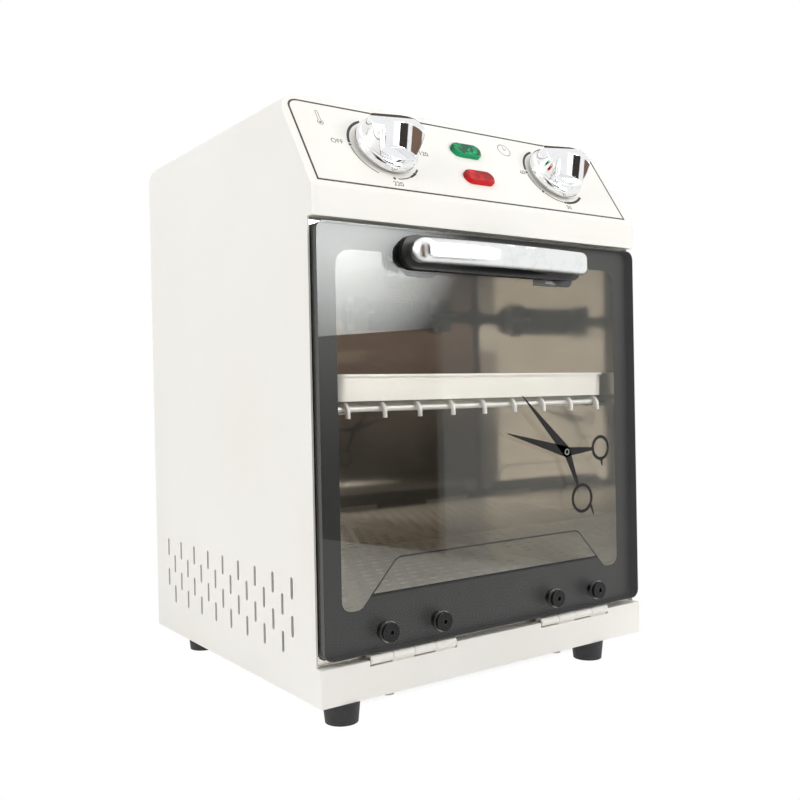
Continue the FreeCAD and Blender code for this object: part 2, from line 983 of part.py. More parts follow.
def floor_slots():
    """Staggered round-ended slots all over the floor plate."""
    made = []
    columns = int(value("2 * (plate_half - slot_margin) / slot_pitch"))
    rows = int(value("(plate_back - plate_y - 2 * slot_margin) / slot_row_pitch")) + 1
    depth = value("2 * overrun")
    for row in range(rows):
        count = columns - row % 2
        for number in range(count):
            slot = pill(value("slot_length"), value("slot_width"), depth)
            slot.rotate(FreeCAD.Vector(0, 0, 0), Y_AXIS, -90)
            across = (number - (count - 1) / 2) * value("slot_pitch")
            along = (value("plate_y + plate_back") + (2 * row - rows + 1) * value("slot_row_pitch")) / 2
            slot.translate(FreeCAD.Vector(across, along, value("plate_top") - depth / 2))
            made.append(slot)
    item = doc.addObject("Part::Feature", "floor_slots")
    item.Shape = Part.makeCompound(made)
    return item


def make_floor_plate():
    top = box(
        "floor_sheet",
        ("-plate_half", "plate_y", "plate_top - plate_gauge"),
        ("plate_half", "plate_back", "plate_top"),
    )
    legs = [
        box(
            "floor_leg_left",
            ("-plate_half", "plate_y", "chamber_floor"),
            ("plate_gauge - plate_half", "plate_back", "plate_top"),
        ),
        box(
            "floor_leg_right",
            ("plate_half - plate_gauge", "plate_y", "chamber_floor"),
            ("plate_half", "plate_back", "plate_top"),
        ),
        box(
            "floor_leg_front",
            ("-plate_half", "plate_y", "chamber_floor"),
            ("plate_half", "plate_y + plate_gauge", "plate_top"),
        ),
    ]
    node("floor_plate", cut("floor_plate", fused("floor_folds", top, *legs), floor_slots()))


def bend(name, x, y, forward):
    """Half a ring that joins two legs of the heater tube, bulging forward or back."""
    item = doc.addObject("Part::Torus", name)
    item.Angle3 = 180
    item.Placement.Rotation = FreeCAD.Rotation(Z_AXIS, 180 if forward else 0)
    put(item, x, y, "heater_height")
    bind(item, Radius1="heater_bend", Radius2="heater_radius")
    return item


def make_heater():
    """Four legs and three bends; the two outer legs go out through the back of the liner."""
    legs = []
    for number, step in enumerate(("-3", "-1", "1", "3")):
        outer = number in (0, 3)
        rear = "chamber_back + heater_tail" if outer else "heater_rear"
        legs.append(
            rod(
                f"heater_leg_{number}",
                (f"{step} * heater_bend", "heater_front", "heater_height"),
                "heater_radius",
                f"{rear} - heater_front",
                "y",
            )
        )
    bends = [
        bend("heater_bend_left", "-2 * heater_bend", "heater_front", True),
        bend("heater_bend_back", "0", "heater_rear", False),
        bend("heater_bend_right", "2 * heater_bend", "heater_front", True),
    ]
    node("heater_tube", fused("heater_tube", *legs, *bends))
    fittings = []
    for number, x in enumerate(heater_spots()):
        nut = hexagon(
            f"fitting_nut_{number}",
            (x, "chamber_back + liner_gauge", "heater_height"),
            "2 * fitting_radius",
            "fitting_length",
            "y",
        )
        bore = rod(
            f"fitting_bore_{number}",
            (x, "chamber_back", "heater_height"),
            "heater_radius + heater_fit",
            "fitting_length + overrun",
            "y",
        )
        fittings.append(cut(f"heater_fitting_{number}", nut, bore))
    node("heater_fittings", group("heater_fittings", fittings))
    reach = "3 * heater_bend + saddle_overhang"
    saddles = [
        box(
            f"heater_saddle_{n}",
            (f"-({reach})", f"{y} - saddle_width / 2", "chamber_floor"),
            (reach, f"{y} + saddle_width / 2", "heater_height - heater_radius - heater_fit"),
        )
        for n, y in enumerate(("heater_front + saddle_inset", "heater_rear - saddle_back_inset"))
    ]
    node("heater_saddles", group("heater_saddles", saddles))


# Ledges, rack and tray


def make_rack():
    shelf = box(
        "ledge_shelf",
        ("chamber_half - ledge_width", "liner_y + ledge_inset", "ledge_top - liner_gauge"),
        ("chamber_half", "chamber_back", "ledge_top"),
    )
    leg = box(
        "ledge_leg_sheet",
        ("chamber_half - liner_gauge", "liner_y + ledge_inset", "ledge_top - ledge_leg"),
        ("chamber_half", "chamber_back", "ledge_top"),
    )
    node("rack_ledges", both_sides("rack_ledges", fused("ledge", shelf, leg)))
    bars = []
    for end, y in (("front", "rack_y"), ("back", "rack_y + rack_depth")):
        bars.append(
            rod(
                f"rack_{end}_bar",
                ("-rack_half - frame_wire", y, "frame_wire_z"),
                "frame_wire",
                "2 * (rack_half + frame_wire)",
                "x",
            )
        )
    for side, x in SIDES.items():
        start = (f"{x}rack_half", "rack_y", "frame_wire_z")
        bars.append(rod(f"rack_side_bar_{side}", start, "frame_wire", "rack_depth", "y"))
    for number in range(int(value("wire_count"))):
        x = f"({number} - (wire_count - 1) / 2) * wire_pitch"
        bars.append(
            rod(f"rack_wire_{number}", (x, "rack_y", "cross_wire_z"), "cross_wire", "rack_depth", "y")
        )
        hook = doc.addObject("Part::Torus", f"rack_hook_{number}")
        hook.Angle3 = 90
        hook.Placement.Rotation = FreeCAD.Rotation(-Y_AXIS, Z_AXIS, -X_AXIS)
        put(hook, x, "rack_y", "cross_wire_z - hook_bend")
        bind(hook, Radius1="hook_bend", Radius2="cross_wire")
        bars.append(hook)
        bars.append(
            rod(
                f"rack_tip_{number}",
                (x, "rack_y - hook_bend", "cross_wire_z - hook_bend - hook_drop"),
                "cross_wire",
                "hook_drop",
            )
        )
    node("wire_rack", fused("wire_rack", *bars))
    make_tray()


def make_tray():
    outer = slab(
        "tray_outer",
        "XY_Plane",
        ("-tray_half", "tray_y"),
        ("tray_half", "tray_back"),
        "tray_height",
        "tray_round",
    )
    lip = slab(
        "tray_lip_block",
        "XY_Plane",
        ("-tray_half - tray_lip", "tray_y - tray_lip"),
        ("tray_half + tray_lip", "tray_back + tray_lip"),
        "tray_lip_height",
        "tray_round + tray_lip",
    )
    put(lip, z="tray_height - tray_lip_height")
    hollow = slab(
        "tray_hollow",
        "XY_Plane",
        ("tray_gauge - tray_half", "tray_y + tray_gauge"),
        ("tray_half - tray_gauge", "tray_back - tray_gauge"),
        "tray_height + overrun",
        "tray_round - tray_gauge",
    )
    put(hollow, z="tray_gauge")
    node("instrument_tray", cut("instrument_tray", fused("tray_blank", outer, lip), hollow), z="tray_z")


# Insulation round the chamber


def make_insulation():
    front = "liner_y + liner_gauge + pad_gap"
    ceiling = "chamber_ceiling + liner_gauge + pad_gap"
    top = box(
        "insulation_top_block",
        ("-chamber_half", front, ceiling),
        ("chamber_half", "chamber_back", f"{ceiling} + top_pad"),
    )
    groove = box(
        "insulation_groove",
        ("-bulb_x - bulb_length", "bulb_y - bulb_clip_width", "chamber_ceiling"),
        ("-bulb_x + bulb_clip_width", "bulb_y + bulb_clip_width", f"{ceiling} + 3 * bulb_radius"),
    )
    well = rod(
        "insulation_well",
        ("cutout_x", "cutout_y", "chamber_ceiling"),
        "cutout_radius + pad_gap",
        "top_pad + overrun",
    )
    lead = rod(
        "insulation_lead_hole",
        ("-bulb_x", "bulb_y", "chamber_ceiling"),
        "capillary_radius + pad_gap",
        "top_pad + overrun",
    )
    node("insulation_top", cut("insulation_top", top, groove, well, lead))
    side = box(
        "insulation_side_block",
        ("chamber_half + liner_gauge + pad_gap", front, "side_pad_low"),
        ("inner_x - pad_gap", "chamber_back", "chamber_ceiling"),
    )
    node("insulation_sides", both_sides("insulation_sides", side))
    rear = "chamber_back + liner_gauge + pad_gap"
    back = box(
        "insulation_back_block",
        ("-chamber_half", rear, "back_pad_low"),
        ("chamber_half", f"{rear} + back_pad", "chamber_ceiling"),
    )
    node("insulation_back", group("insulation_back", [back]))


# Door: glass, handle, catches, seal and hinges


def make_door():
    glass = slab(
        "door_glass_blank",
        "XZ_Plane",
        ("-glass_half", "glass_low"),
        ("glass_half", "glass_high"),
        "glass_thick",
        "glass_round",
    )
    put(glass, y="glass_back")
    node(
        "door_glass",
        cut(
            "door_glass",
            glass,
            holes(
                "glass_hinge_holes",
                level(DOOR_SCREWS, "glass_front - overrun"),
                "m4_bore",
                "3 * overrun",
                "y",
            ),
            holes(
                "glass_handle_holes",
                level(HANDLE_SCREWS, "glass_front - overrun"),
                "m4_bore",
                "3 * overrun",
                "y",
            ),
        ),
    )
    pad = stadium(
        "handle_pad_blank", ("0", "pad_front", "handle_z"), "pad_half", "pad_height", "pad_thick", "y"
    )
    pad_holes = holes(
        "pad_holes", level(HANDLE_SCREWS, "pad_front - overrun"), "m4_bore", "3 * overrun", "y"
    )
    node("handle_pad", cut("handle_pad", pad, pad_holes))
    make_handle()
    make_catches()
    make_seal()
    make_hinges()


def across_bow(edge):
    """True for an edge that runs straight up the bow."""
    return runs_along(edge, Z_AXIS)


def make_handle():
    """A bow: a round-ended bar with an arched and rounded front, hollowed behind for the fingers."""
    bar = stadium(
        "handle_bar",
        ("0", "handle_front", "handle_z"),
        "handle_half",
        "handle_height",
        "handle_depth",
        "y",
    )
    front_radius = "(handle_half * handle_half + handle_fall * handle_fall) / (2 * handle_fall)"
    drum = rod(
        "handle_arch",
        ("0", f"handle_front + {front_radius}", "handle_z - handle_height"),
        front_radius,
        "2 * handle_height",
    )
    reach = "handle_half + nose_reach"
    block = box(
        "handle_block",
        (f"-({reach})", "handle_front - overrun", "handle_z - handle_height"),
        (reach, "pad_front", "handle_z + handle_height"),
    )
    middle = value("pad_front - handle_depth / 2")
    nosed = eased(
        "handle_nosed",
        "Fillet",
        common("handle_plan", block, drum),
        "handle_nose",
        lambda edge: runs_along(edge, Z_AXIS) and edge.BoundBox.YMax < middle,
    )
    grip_radius = "(grip_half * grip_half + grip_depth * grip_depth) / (2 * grip_depth)"
    scoop = rod(
        "handle_scoop",
        ("0", f"pad_front - grip_depth + {grip_radius}", "handle_z - handle_height"),
        grip_radius,
        "2 * handle_height",
    )
    blank = cut("handle_blank", common("handle_bow", bar, nosed), scoop)
    rim = value("pad_front - 1")
    softened = eased(
        "handle_softened",
        "Fillet",
        blank,
        "handle_edge",
        lambda edge: edge.BoundBox.YMax < rim and not across_bow(edge),
    )
    threads = holes(
        "handle_threads",
        level(HANDLE_SCREWS, "pad_front - m4_reach"),
        "m4_radius",
        "m4_reach + overrun",
        "y",
    )
    node("handle", cut("handle", softened, threads))
    spots = level(HANDLE_SCREWS, "glass_back + strike_thick")
    length = "strike_thick + glass_thick + pad_thick + m4_reach"
    made = screws(
        "handle_screw", spots, "m4_radius", length, "cap_head_radius", "leaf_thick", "y", False
    )
    node("handle_screws", group("handle_screws", made))


def make_catches():
    """Steel plates on the glass and magnets hung from the chamber's ceiling behind them."""
    plates = []
    for number, (x, z) in enumerate(HANDLE_SCREWS):
        plate = box(
            f"strike_sheet_{number}",
            (f"{x} - strike_width / 2", "glass_back", f"{z} - strike_drop"),
            (f"{x} + strike_width / 2", "glass_back + strike_thick", f"{z} + strike_rise"),
        )
        hole = rod(
            f"strike_hole_{number}", (x, "glass_back - overrun", z), "m4_bore", "2 * overrun", "y"
        )
        plates.append(cut(f"strike_plate_{number}", plate, hole))
    node("strike_plates", group("strike_plates", plates))
    low = "handle_z - strike_drop"
    face = "glass_back + strike_thick + magnet_gap"
    left = "handle_screw_x - strike_width / 2"
    right = "handle_screw_x + strike_width / 2"
    magnet = box(
        "magnet_block", (left, face, low), (right, f"{face} + magnet_depth", f"{low} + magnet_height")
    )
    strap = box(
        "magnet_strap",
        (left, f"{face} + magnet_depth - catch_gauge", low),
        (right, f"{face} + magnet_depth", "chamber_ceiling"),
    )
    foot = box(
        "magnet_foot",
        (left, f"{face} + magnet_depth - catch_gauge", "chamber_ceiling - catch_gauge"),
        (right, f"{face} + magnet_depth + catch_foot", "chamber_ceiling"),
    )
    node("magnet_catches", both_sides("magnet_catches", fused("magnet_catch", magnet, strap, foot)))


def make_seal():
    """A flat strip on the liner's flange, up both sides and over the top."""
    inner = "chamber_half + seal_margin"
    top = "chamber_ceiling + seal_margin"
    block = box(
        "seal_block",
        (f"-({inner} + seal_width)", "glass_back + seal_gap", "glass_low"),
        (f"{inner} + seal_width", "liner_y", f"{top} + seal_width - seal_margin"),
    )
    mouth = box(
        "seal_mouth",
        (f"-({inner})", "glass_back - overrun", "-overrun"),
        (inner, "liner_y + overrun", top),
    )
    node("door_seal", cut("door_seal", block, mouth))


def make_hinges():
    door_leaves = []
    body_leaves = []
    pins = []
    for side, centre in HINGES.items():
        left = f"{centre} - hinge_width / 2"
        bore = rod(
            f"hinge_bore_{side}",
            (f"{left} - overrun", "pin_y", "sill_height"),
            "pin_radius + pin_fit",
            "hinge_width + 2 * overrun",
            "x",
        )
        door = [
            box(
                f"door_leaf_plate_{side}",
                (left, "glass_back", "sill_height + knuckle_radius + leaf_gap"),
                (
                    f"{centre} + hinge_width / 2",
                    "glass_back + leaf_thick",
                    "sill_height + door_leaf_rise",
                ),
            )
        ]
        body = [
            box(
                f"body_leaf_plate_{side}",
                (left, "front_y + gauge", "notch_low - body_leaf_drop + 2 * gauge"),
                (f"{centre} + hinge_width / 2", "front_y + gauge + leaf_thick", "notch_low"),
            )
        ]
        for number in range(int(value("knuckle_count"))):
            start = f"{left} + {number} * (knuckle_length + knuckle_gap)"
            end = f"{start} + knuckle_length"
            barrel = rod(
                f"knuckle_{side}_{number}",
                (start, "pin_y", "sill_height"),
                "knuckle_radius",
                "knuckle_length",
                "x",
            )
            if number % 2:
                neck = box(
                    f"neck_{side}_{number}",
                    (start, "front_y + gauge", "notch_low"),
                    (end, "front_y + gauge + leaf_thick", "sill_height"),
                )
                body += [barrel, neck]
            else:
                neck = box(
                    f"neck_{side}_{number}",
                    (start, "glass_back", "sill_height"),
                    (end, "glass_back + leaf_thick", "sill_height + knuckle_radius + leaf_gap"),
                )
                door += [barrel, neck]
        spots = level(
            [spot for spot in DOOR_SCREWS if spot[0].startswith(centre)], "glass_back - overrun"
        )
        door_drill = holes(f"door_leaf_holes_{side}", spots, "m4_radius", "3 * overrun", "y")
        door_leaves.append(
            cut(f"hinge_door_leaf_{side}", fused(f"door_leaf_blank_{side}", *door), bore, door_drill)
        )
        body_leaves.append(
            cut(f"hinge_body_leaf_{side}", fused(f"body_leaf_blank_{side}", *body), bore)
        )
        pins.append(
            rod(f"hinge_pin_{side}", (left, "pin_y", "sill_height"), "pin_radius", "hinge_width", "x")
        )
    node("hinge_door_leaves", group("hinge_door_leaves", door_leaves))
    node("hinge_body_leaves", group("hinge_body_leaves", body_leaves))
    node("hinge_pins", group("hinge_pins", pins))
    make_hinge_screws()


def make_hinge_screws():
    """Socket head screws with washers in front of the glass, threaded into the door leaves."""
    seat = "glass_front - washer_thick"
    length = "washer_thick + glass_thick + leaf_thick"
    heads = screws(
        "door_screw",
        level(DOOR_SCREWS, seat),
        "m4_radius",
        length,
        "disc_head_radius",
        "disc_head_height",
        "y",
        True,
    )
    made = []
    for number, (screw, spot) in enumerate(zip(heads, DOOR_SCREWS)):
        socket = hexagon(
            f"door_socket_{number}",
            (spot[0], f"{seat} - disc_head_height - hex_depth", spot[1]),
            "hex_flats",
            "2 * hex_depth",
            "y",
        )
        made.append(cut(f"door_screw_cut_{number}", screw, socket))
    node("door_screws", group("door_screws", made))
    washers = []
    for number, (x, z) in enumerate(DOOR_SCREWS):
        disc = rod(f"washer_disc_{number}", (x, seat, z), "washer_radius", "washer_thick", "y")
        hole = rod(f"washer_hole_{number}", (x, f"{seat} - overrun", z), "m4_bore", "2 * overrun", "y")
        washers.append(cut(f"door_washer_{number}", disc, hole))
    node("door_washers", group("door_washers", washers))


# Controls on the slanted panel, each built flat with its axis on Z and then laid on the slope


def make_knob(name):
    """A rounded skirt and a tapering grip with a crowned roof, scooped away on its lower side."""
    skirt = rod(f"{name}_skirt_blank", ("0", "0", "knob_gap"), "skirt_radius", "skirt_height")
    rounded = eased(
        f"{name}_skirt", "Fillet", skirt, "skirt_round", lambda edge: len(edge.Vertexes) == 1
    )
    grip = cone(
        f"{name}_grip",
        ("0", "0", "knob_gap + skirt_height / 2"),
        "knob_low_radius",
        "knob_top_radius",
        "knob_top - knob_gap - skirt_height / 2",
    )
    roof = rod(f"{name}_roof", (), "roof_radius", "4 * skirt_radius", "x")
    roof.Placement.Rotation = FreeCAD.Rotation(FreeCAD.Vector(0, 1, 0), 80)
    bind(roof, **{"Placement.Rotation.Angle": "90 deg - roof_tilt * 1 deg"})
    put(
        roof,
        "-2 * skirt_radius",
        "0",
        "roof_middle - roof_radius / cos(roof_tilt * 1 deg) - 2 * skirt_radius * tan(roof_tilt * 1 deg)",
    )
    crowned = common(f"{name}_crowned", grip, roof)
    wall = rod(f"{name}_scoop_wall", (), "scoop_radius", "8 * knob_top")
    wall.Placement.Rotation = FreeCAD.Rotation(FreeCAD.Vector(-1, 0, 0), 10)
    bind(wall, **{"Placement.Rotation.Angle": "scoop_lean * 1 deg"})
    put(
        wall,
        y="-scoop_reach - scoop_radius / cos(scoop_lean * 1 deg) - 3 * knob_top * tan(scoop_lean * 1 deg)",
        z="scoop_floor - 3 * knob_top",
    )
    above = box(
        f"{name}_scoop_room",
        ("-2 * skirt_radius", "-3 * skirt_radius", "scoop_floor"),
        ("2 * skirt_radius", "2 * skirt_radius", "2 * knob_top"),
    )
    scoop = common(f"{name}_scoop", wall, above)
    hollow = rod(
        f"{name}_hollow",
        ("0", "0", "knob_gap - overrun"),
        "knob_hollow",
        "hollow_top - knob_gap + overrun",
    )
    bore = rod(f"{name}_bore", ("0", "0", "0"), "shaft_radius + shaft_fit", "shaft_reach + rest_gap")
    return cut(name, fused(f"{name}_blank", rounded, crowned), scoop, hollow, bore)


def make_control(name, knob, x, radius, depth):
    """A switch body behind the panel, its threaded bush and nut, its shaft and its knob."""
    case = rod(f"{name}_case", ("0", "0", f"-gauge - {depth}"), radius, depth)
    bush = rod(
        f"{name}_bush", ("0", "0", "-gauge - overrun"), "bush_radius", "gauge + overrun + bush_rise"
    )
    bore = rod(
        f"{name}_bush_bore",
        ("0", "0", "-shaft_depth - rest_gap"),
        "shaft_radius + running_fit",
        "shaft_depth + overrun",
    )
    panel_node(
        f"{name}_body", cut(f"{name}_body", fused(f"{name}_blank", case, bush), bore), x, "knob_up"
    )
    blank = hexagon(f"{name}_nut_blank", ("0", "0", "0"), "nut_flats", "nut_height")
    hole = rod(f"{name}_nut_hole", ("0", "0", "-overrun"), "bush_radius", "2 * overrun")
    panel_node(f"{name}_nut", cut(f"{name}_nut", blank, hole), x, "knob_up")
    shaft = rod(
        f"{name}_shaft_bar", ("0", "0", "-shaft_depth"), "shaft_radius", "shaft_depth + shaft_reach"
    )
    panel_node(f"{name}_shaft", group(f"{name}_shaft", [shaft]), x, "knob_up")
    panel_node(knob, make_knob(knob), x, "knob_up")


def make_lamps():
    holders = []
    for name, up in (("green_lens", "green_up"), ("red_lens", "red_up")):
        blank = stadium(
            f"{name}_blank", ("0", "0", "0"), "lens_width / 2", "lens_height", "lens_rise", "z"
        )
        shoulder = value("lens_rise - lens_edge / 2")
        lens = eased(
            f"{name}_facets", "Chamfer", blank, "lens_edge", lambda edge: edge.BoundBox.ZMin > shoulder
        )
        stem = rod(
            f"{name}_stem", ("0", "0", "-stem_depth"), "stem_radius", "stem_depth + lens_rise / 2"
        )
        panel_node(name, fused(name, lens, stem), "lens_x", up)
        block = box(
            f"{name}_holder_block",
            ("-holder_width / 2", "-holder_height / 2", "-gauge - holder_depth"),
            ("holder_width / 2", "holder_height / 2", "-gauge"),
        )
        socket = rod(
            f"{name}_holder_socket",
            ("0", "0", "-stem_depth - rest_gap"),
            "stem_radius + stem_fit",
            "stem_depth + overrun",
        )
        holders.append(on_panel(cut(f"{name}_holder", block, socket), "lens_x", up))
    node("lamp_holders", group("lamp_holders", holders))


# Sensing bulb, cut-out, terminals and cord gland


def make_sensor():
    """The thermostat's bulb along the chamber's ceiling, with the start of its thin tube going up."""
    bulb = rod(
        "bulb_bar",
        ("-bulb_x - bulb_length + capillary_radius", "bulb_y", "bulb_z"),
        "bulb_radius",
        "bulb_length",
        "x",
    )
    lead = rod("bulb_lead", ("-bulb_x", "bulb_y", "bulb_z"), "capillary_radius", "top_pad")
    node("thermostat_bulb", fused("thermostat_bulb", bulb, lead))
    clips = []
    for number in range(int(value("bulb_clip_count"))):
        middle = f"-bulb_x - bulb_length * ({number} + 0.5) / bulb_clip_count"
        block = box(
            f"bulb_clip_block_{number}",
            (
                f"{middle} - bulb_clip_width / 2",
                "bulb_y - bulb_radius - 2 * bulb_clip_wall",
                "chamber_ceiling + liner_gauge",
            ),
            (
                f"{middle} + bulb_clip_width / 2",
                "bulb_y + bulb_radius + 2 * bulb_clip_wall",
                "bulb_z + bulb_radius + bulb_clip_wall",
            ),
        )
        bore = rod(
            f"bulb_clip_bore_{number}",
            (f"{middle} - bulb_clip_width", "bulb_y", "bulb_z"),
            "bulb_radius + running_fit",
            "2 * bulb_clip_width",
            "x",
        )
        clips.append(cut(f"bulb_clip_{number}", block, bore))
    node("bulb_clips", group("bulb_clips", clips))
    seat = "chamber_ceiling + liner_gauge"
    disc = rod("cutout_case", ("cutout_x", "cutout_y", seat), "cutout_radius", "cutout_height * 2 / 3")
    cap = rod("cutout_cap", ("cutout_x", "cutout_y", seat), "cutout_radius * 2 / 3", "cutout_height")
    node("thermal_cutout", fused("thermal_cutout", disc, cap))


def make_terminals():
    low = ("-terminal_x - terminal_width / 2", "terminal_y - terminal_depth / 2", "2 * gauge")
    high = (
        "terminal_width / 2 - terminal_x",
        "terminal_y + terminal_depth / 2",
        "2 * gauge + terminal_height",
    )
    block = box("terminal_case", low, high)
    wells = [
        rod(
            f"terminal_well_{n}",
            (
                f"-terminal_x + ({n} - (terminal_ways - 1) / 2) * terminal_step",
                f"terminal_y {sign} terminal_depth / 4",
                "2 * gauge + terminal_height / 2",
            ),
            "terminal_screw",
            "terminal_height",
        )
        for n in range(int(value("terminal_ways")))
        for sign in "-+"
    ]
    node("terminal_block", cut("terminal_block", block, *wells))


def make_gland():
    """Where the cord comes in: a threaded sleeve with a hexagon and a domed nose, and a nut inside."""
    thread = rod(
        "gland_thread_bar",
        ("-gland_x", "back_y - gauge - gland_inside", "gland_z"),
        "gland_thread",
        "gland_inside + gauge + overrun",
        "y",
    )
    flange = hexagon("gland_hex", ("-gland_x", "back_y", "gland_z"), "gland_flats", "gland_flange", "y")
    nose = cone(
        "gland_nose_cone",
        ("-gland_x", "back_y + gland_flange", "gland_z"),
        "gland_nose_radius",
        "gland_tip_radius",
        "gland_nose",
        "y",
    )
    bore = rod(
        "gland_bore_drill",
        ("-gland_x", "flange_y - 2 * overrun", "gland_z"),
        "gland_bore",
        "gland_flange + gland_nose + 4 * overrun",
        "y",
    )
    node("cord_gland", cut("cord_gland", fused("gland_blank", thread, flange, nose), bore))
    blank = hexagon(
        "gland_nut_blank",
        ("-gland_x", "back_y - gauge - gland_nut_thick", "gland_z"),
        "gland_flats",
        "gland_nut_thick",
        "y",
    )
    hole = rod(
        "gland_nut_hole",
        ("-gland_x", "flange_y - overrun", "gland_z"),
        "gland_thread",
        "2 * overrun",
        "y",
    )
    node("gland_nut", cut("gland_nut", blank, hole))


make_case()
make_feet()
make_chamber()
make_rack()
make_insulation()
make_door()
make_control("thermostat", "temperature_knob", "left_knob_x", "thermostat_radius", "thermostat_depth")
make_control("timer", "timer_knob", "right_knob_x", "timer_radius", "timer_depth")
make_lamps()
make_sensor()
make_terminals()
make_gland()
doc.recompute()

faults = [item.Label for item in doc.Objects if "Invalid" in item.State or "Error" in item.State]
for item in nodes:
    if item.Shape.isNull() or not item.Shape.isValid() or not item.Shape.Solids:
        faults.append(item.Label + " has no sound shape")
if faults:
    raise RuntimeError("not built: " + ", ".join(faults))

os.makedirs("parts", exist_ok=True)
for item in nodes:
    item.Shape.exportStep(os.path.join("parts", item.Label + ".step"))
    corner = item.Shape.BoundBox
    print(f"{item.Label}: {len(item.Shape.Solids)} solids, {item.Shape.Volume:.0f} mm3,", corner)
print(len(nodes), "sub-parts")
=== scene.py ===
"""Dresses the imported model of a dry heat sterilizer: finishes, printing and a plain studio."""

import json
from math import atan2, cos, radians, sin

import bmesh
import bpy
from mathutils import Matrix, Vector


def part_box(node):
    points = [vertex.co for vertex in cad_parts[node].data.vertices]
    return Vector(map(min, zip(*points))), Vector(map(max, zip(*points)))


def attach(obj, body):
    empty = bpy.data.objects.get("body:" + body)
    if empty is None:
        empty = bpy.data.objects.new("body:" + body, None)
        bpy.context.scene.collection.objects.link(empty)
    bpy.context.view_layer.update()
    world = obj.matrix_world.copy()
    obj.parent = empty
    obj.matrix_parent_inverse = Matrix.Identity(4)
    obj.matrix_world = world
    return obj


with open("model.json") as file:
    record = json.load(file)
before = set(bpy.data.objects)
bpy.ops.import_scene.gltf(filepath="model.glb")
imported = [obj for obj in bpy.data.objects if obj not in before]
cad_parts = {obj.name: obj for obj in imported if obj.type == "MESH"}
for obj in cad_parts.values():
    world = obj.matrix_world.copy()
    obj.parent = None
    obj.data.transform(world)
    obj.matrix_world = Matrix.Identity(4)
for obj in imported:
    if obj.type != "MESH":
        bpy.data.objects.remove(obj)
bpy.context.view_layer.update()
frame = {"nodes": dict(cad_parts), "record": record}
nodes = frame["nodes"]
MM = 0.001
WHITE = (1, 1, 1, 1)
PANEL_RISE = 53.0
PANEL_RUN = 34.5
slope = atan2(PANEL_RISE, PANEL_RUN)
PANEL_NORMAL = (0, -sin(slope), cos(slope))
PANEL_DOWN = (0, -cos(slope), -sin(slope))


# Shader writing


class Line:
    """The output of a node. Arithmetic on it adds the Math node that does it."""

    def __init__(self, finish, socket):
        self.finish = finish
        self.socket = socket

    def math(self, operation, first, second):
        settings = {"operation": operation}
        return self.finish.node("Math", settings, {0: first, 1: second})

    def __add__(self, other):
        return self.math("ADD", self, other)

    def __radd__(self, other):
        return self.math("ADD", other, self)

    def __sub__(self, other):
        return self.math("SUBTRACT", self, other)

    def __rsub__(self, other):
        return self.math("SUBTRACT", other, self)

    def __mul__(self, other):
        return self.math("MULTIPLY", self, other)

    def __rmul__(self, other):
        return self.math("MULTIPLY", other, self)

    def __truediv__(self, other):
        return self.math("DIVIDE", self, other)

    def __pow__(self, other):
        return self.math("POWER", self, other)

    def at_most(self, other):
        return self.math("MINIMUM", self, other)

    def at_least(self, other):
        return self.math("MAXIMUM", self, other)

    def spread(self, low, high):
        """0 at low and below, 1 at high and above, and straight between."""
        return ((self - low) / (high - low)).at_least(0).at_most(1)


class Finish:
    """One material, written node by node."""

    def __init__(self, name):
        self.material = bpy.data.materials.new(name)
        self.material.use_nodes = True
        self.tree = self.material.node_tree
        self.tree.nodes.clear()
        self.place = self.node("TexCoord", output="Object")

    def node(self, kind, settings={}, inputs={}, output=0):
        made = self.tree.nodes.new("ShaderNode" + kind)
        for name, setting in settings.items():
            if name == "stops":
                for stop, (position, colour) in enumerate(setting):
                    if stop > 1:
                        made.color_ramp.elements.new(position)
                    made.color_ramp.elements[stop].position = position
                    made.color_ramp.elements[stop].color = colour
            else:
                setattr(made, name, setting)
        for name, entry in inputs.items():
            if isinstance(entry, Line):
                self.tree.links.new(entry.socket, made.inputs[name])
            else:
                made.inputs[name].default_value = entry
        return Line(self, made.outputs[output])

    def noise(self, scale, detail=2, rough=0.5, stretch=(1, 1, 1)):
        """Cloudy values from 0 to 1, with scale in patches per metre."""
        place = self.node("Mapping", {}, {"Vector": self.place, "Scale": stretch})
        inputs = {"Vector": place, "Scale": scale, "Detail": detail, "Roughness": rough}
        return self.node("TexNoise", {}, inputs, "Fac")

    def mix(self, share, first, second):
        """Two colours mixed by share."""
        settings = {"data_type": "RGBA"}
        return self.node("Mix", settings, {0: share, 6: first, 7: second}, output=2)

    def bump(self, height, depth, strength=1.0, soften=0):
        """A normal for a surface that rises by height times depth metres, its edges softened."""
        inputs = {"Height": height, "Distance": depth, "Strength": strength}
        if soften:
            inputs["Normal"] = self.node("Bevel", {"samples": 6}, {"Radius": soften}, "Normal")
        return self.node("Bump", {}, inputs, "Normal")

    def faces(self, way):
        """How squarely the surface faces a direction, from -1 to 1."""
        normal = self.node("NewGeometry", output="Normal")
        return self.node("VectorMath", {"operation": "DOT_PRODUCT"}, {0: normal, 1: way}, "Value")

    def edge_wear(self, width):
        """1 on sharp edges and 0 away from them."""
        rounded = self.node("Bevel", {"samples": 4}, {"Radius": width}, "Normal")
        flat = self.node("NewGeometry", output="Normal")
        settings = {"operation": "DOT_PRODUCT"}
        along = self.node("VectorMath", settings, {0: rounded, 1: flat}, "Value")
        return (1 - along).spread(0.02, 0.25)

    def surface(self, **inputs):
        """The Principled shader; a name's underscores stand for spaces."""
        inputs = {name.replace("_", " "): entry for name, entry in inputs.items()}
        return self.node("BsdfPrincipled", {}, inputs, "BSDF")

    def done(self, shader):
        """Ends the tree with shader and gives the material."""
        end = self.tree.nodes.new("ShaderNodeOutputMaterial")
        self.tree.links.new(shader.socket, end.inputs["Surface"])
        return self.material


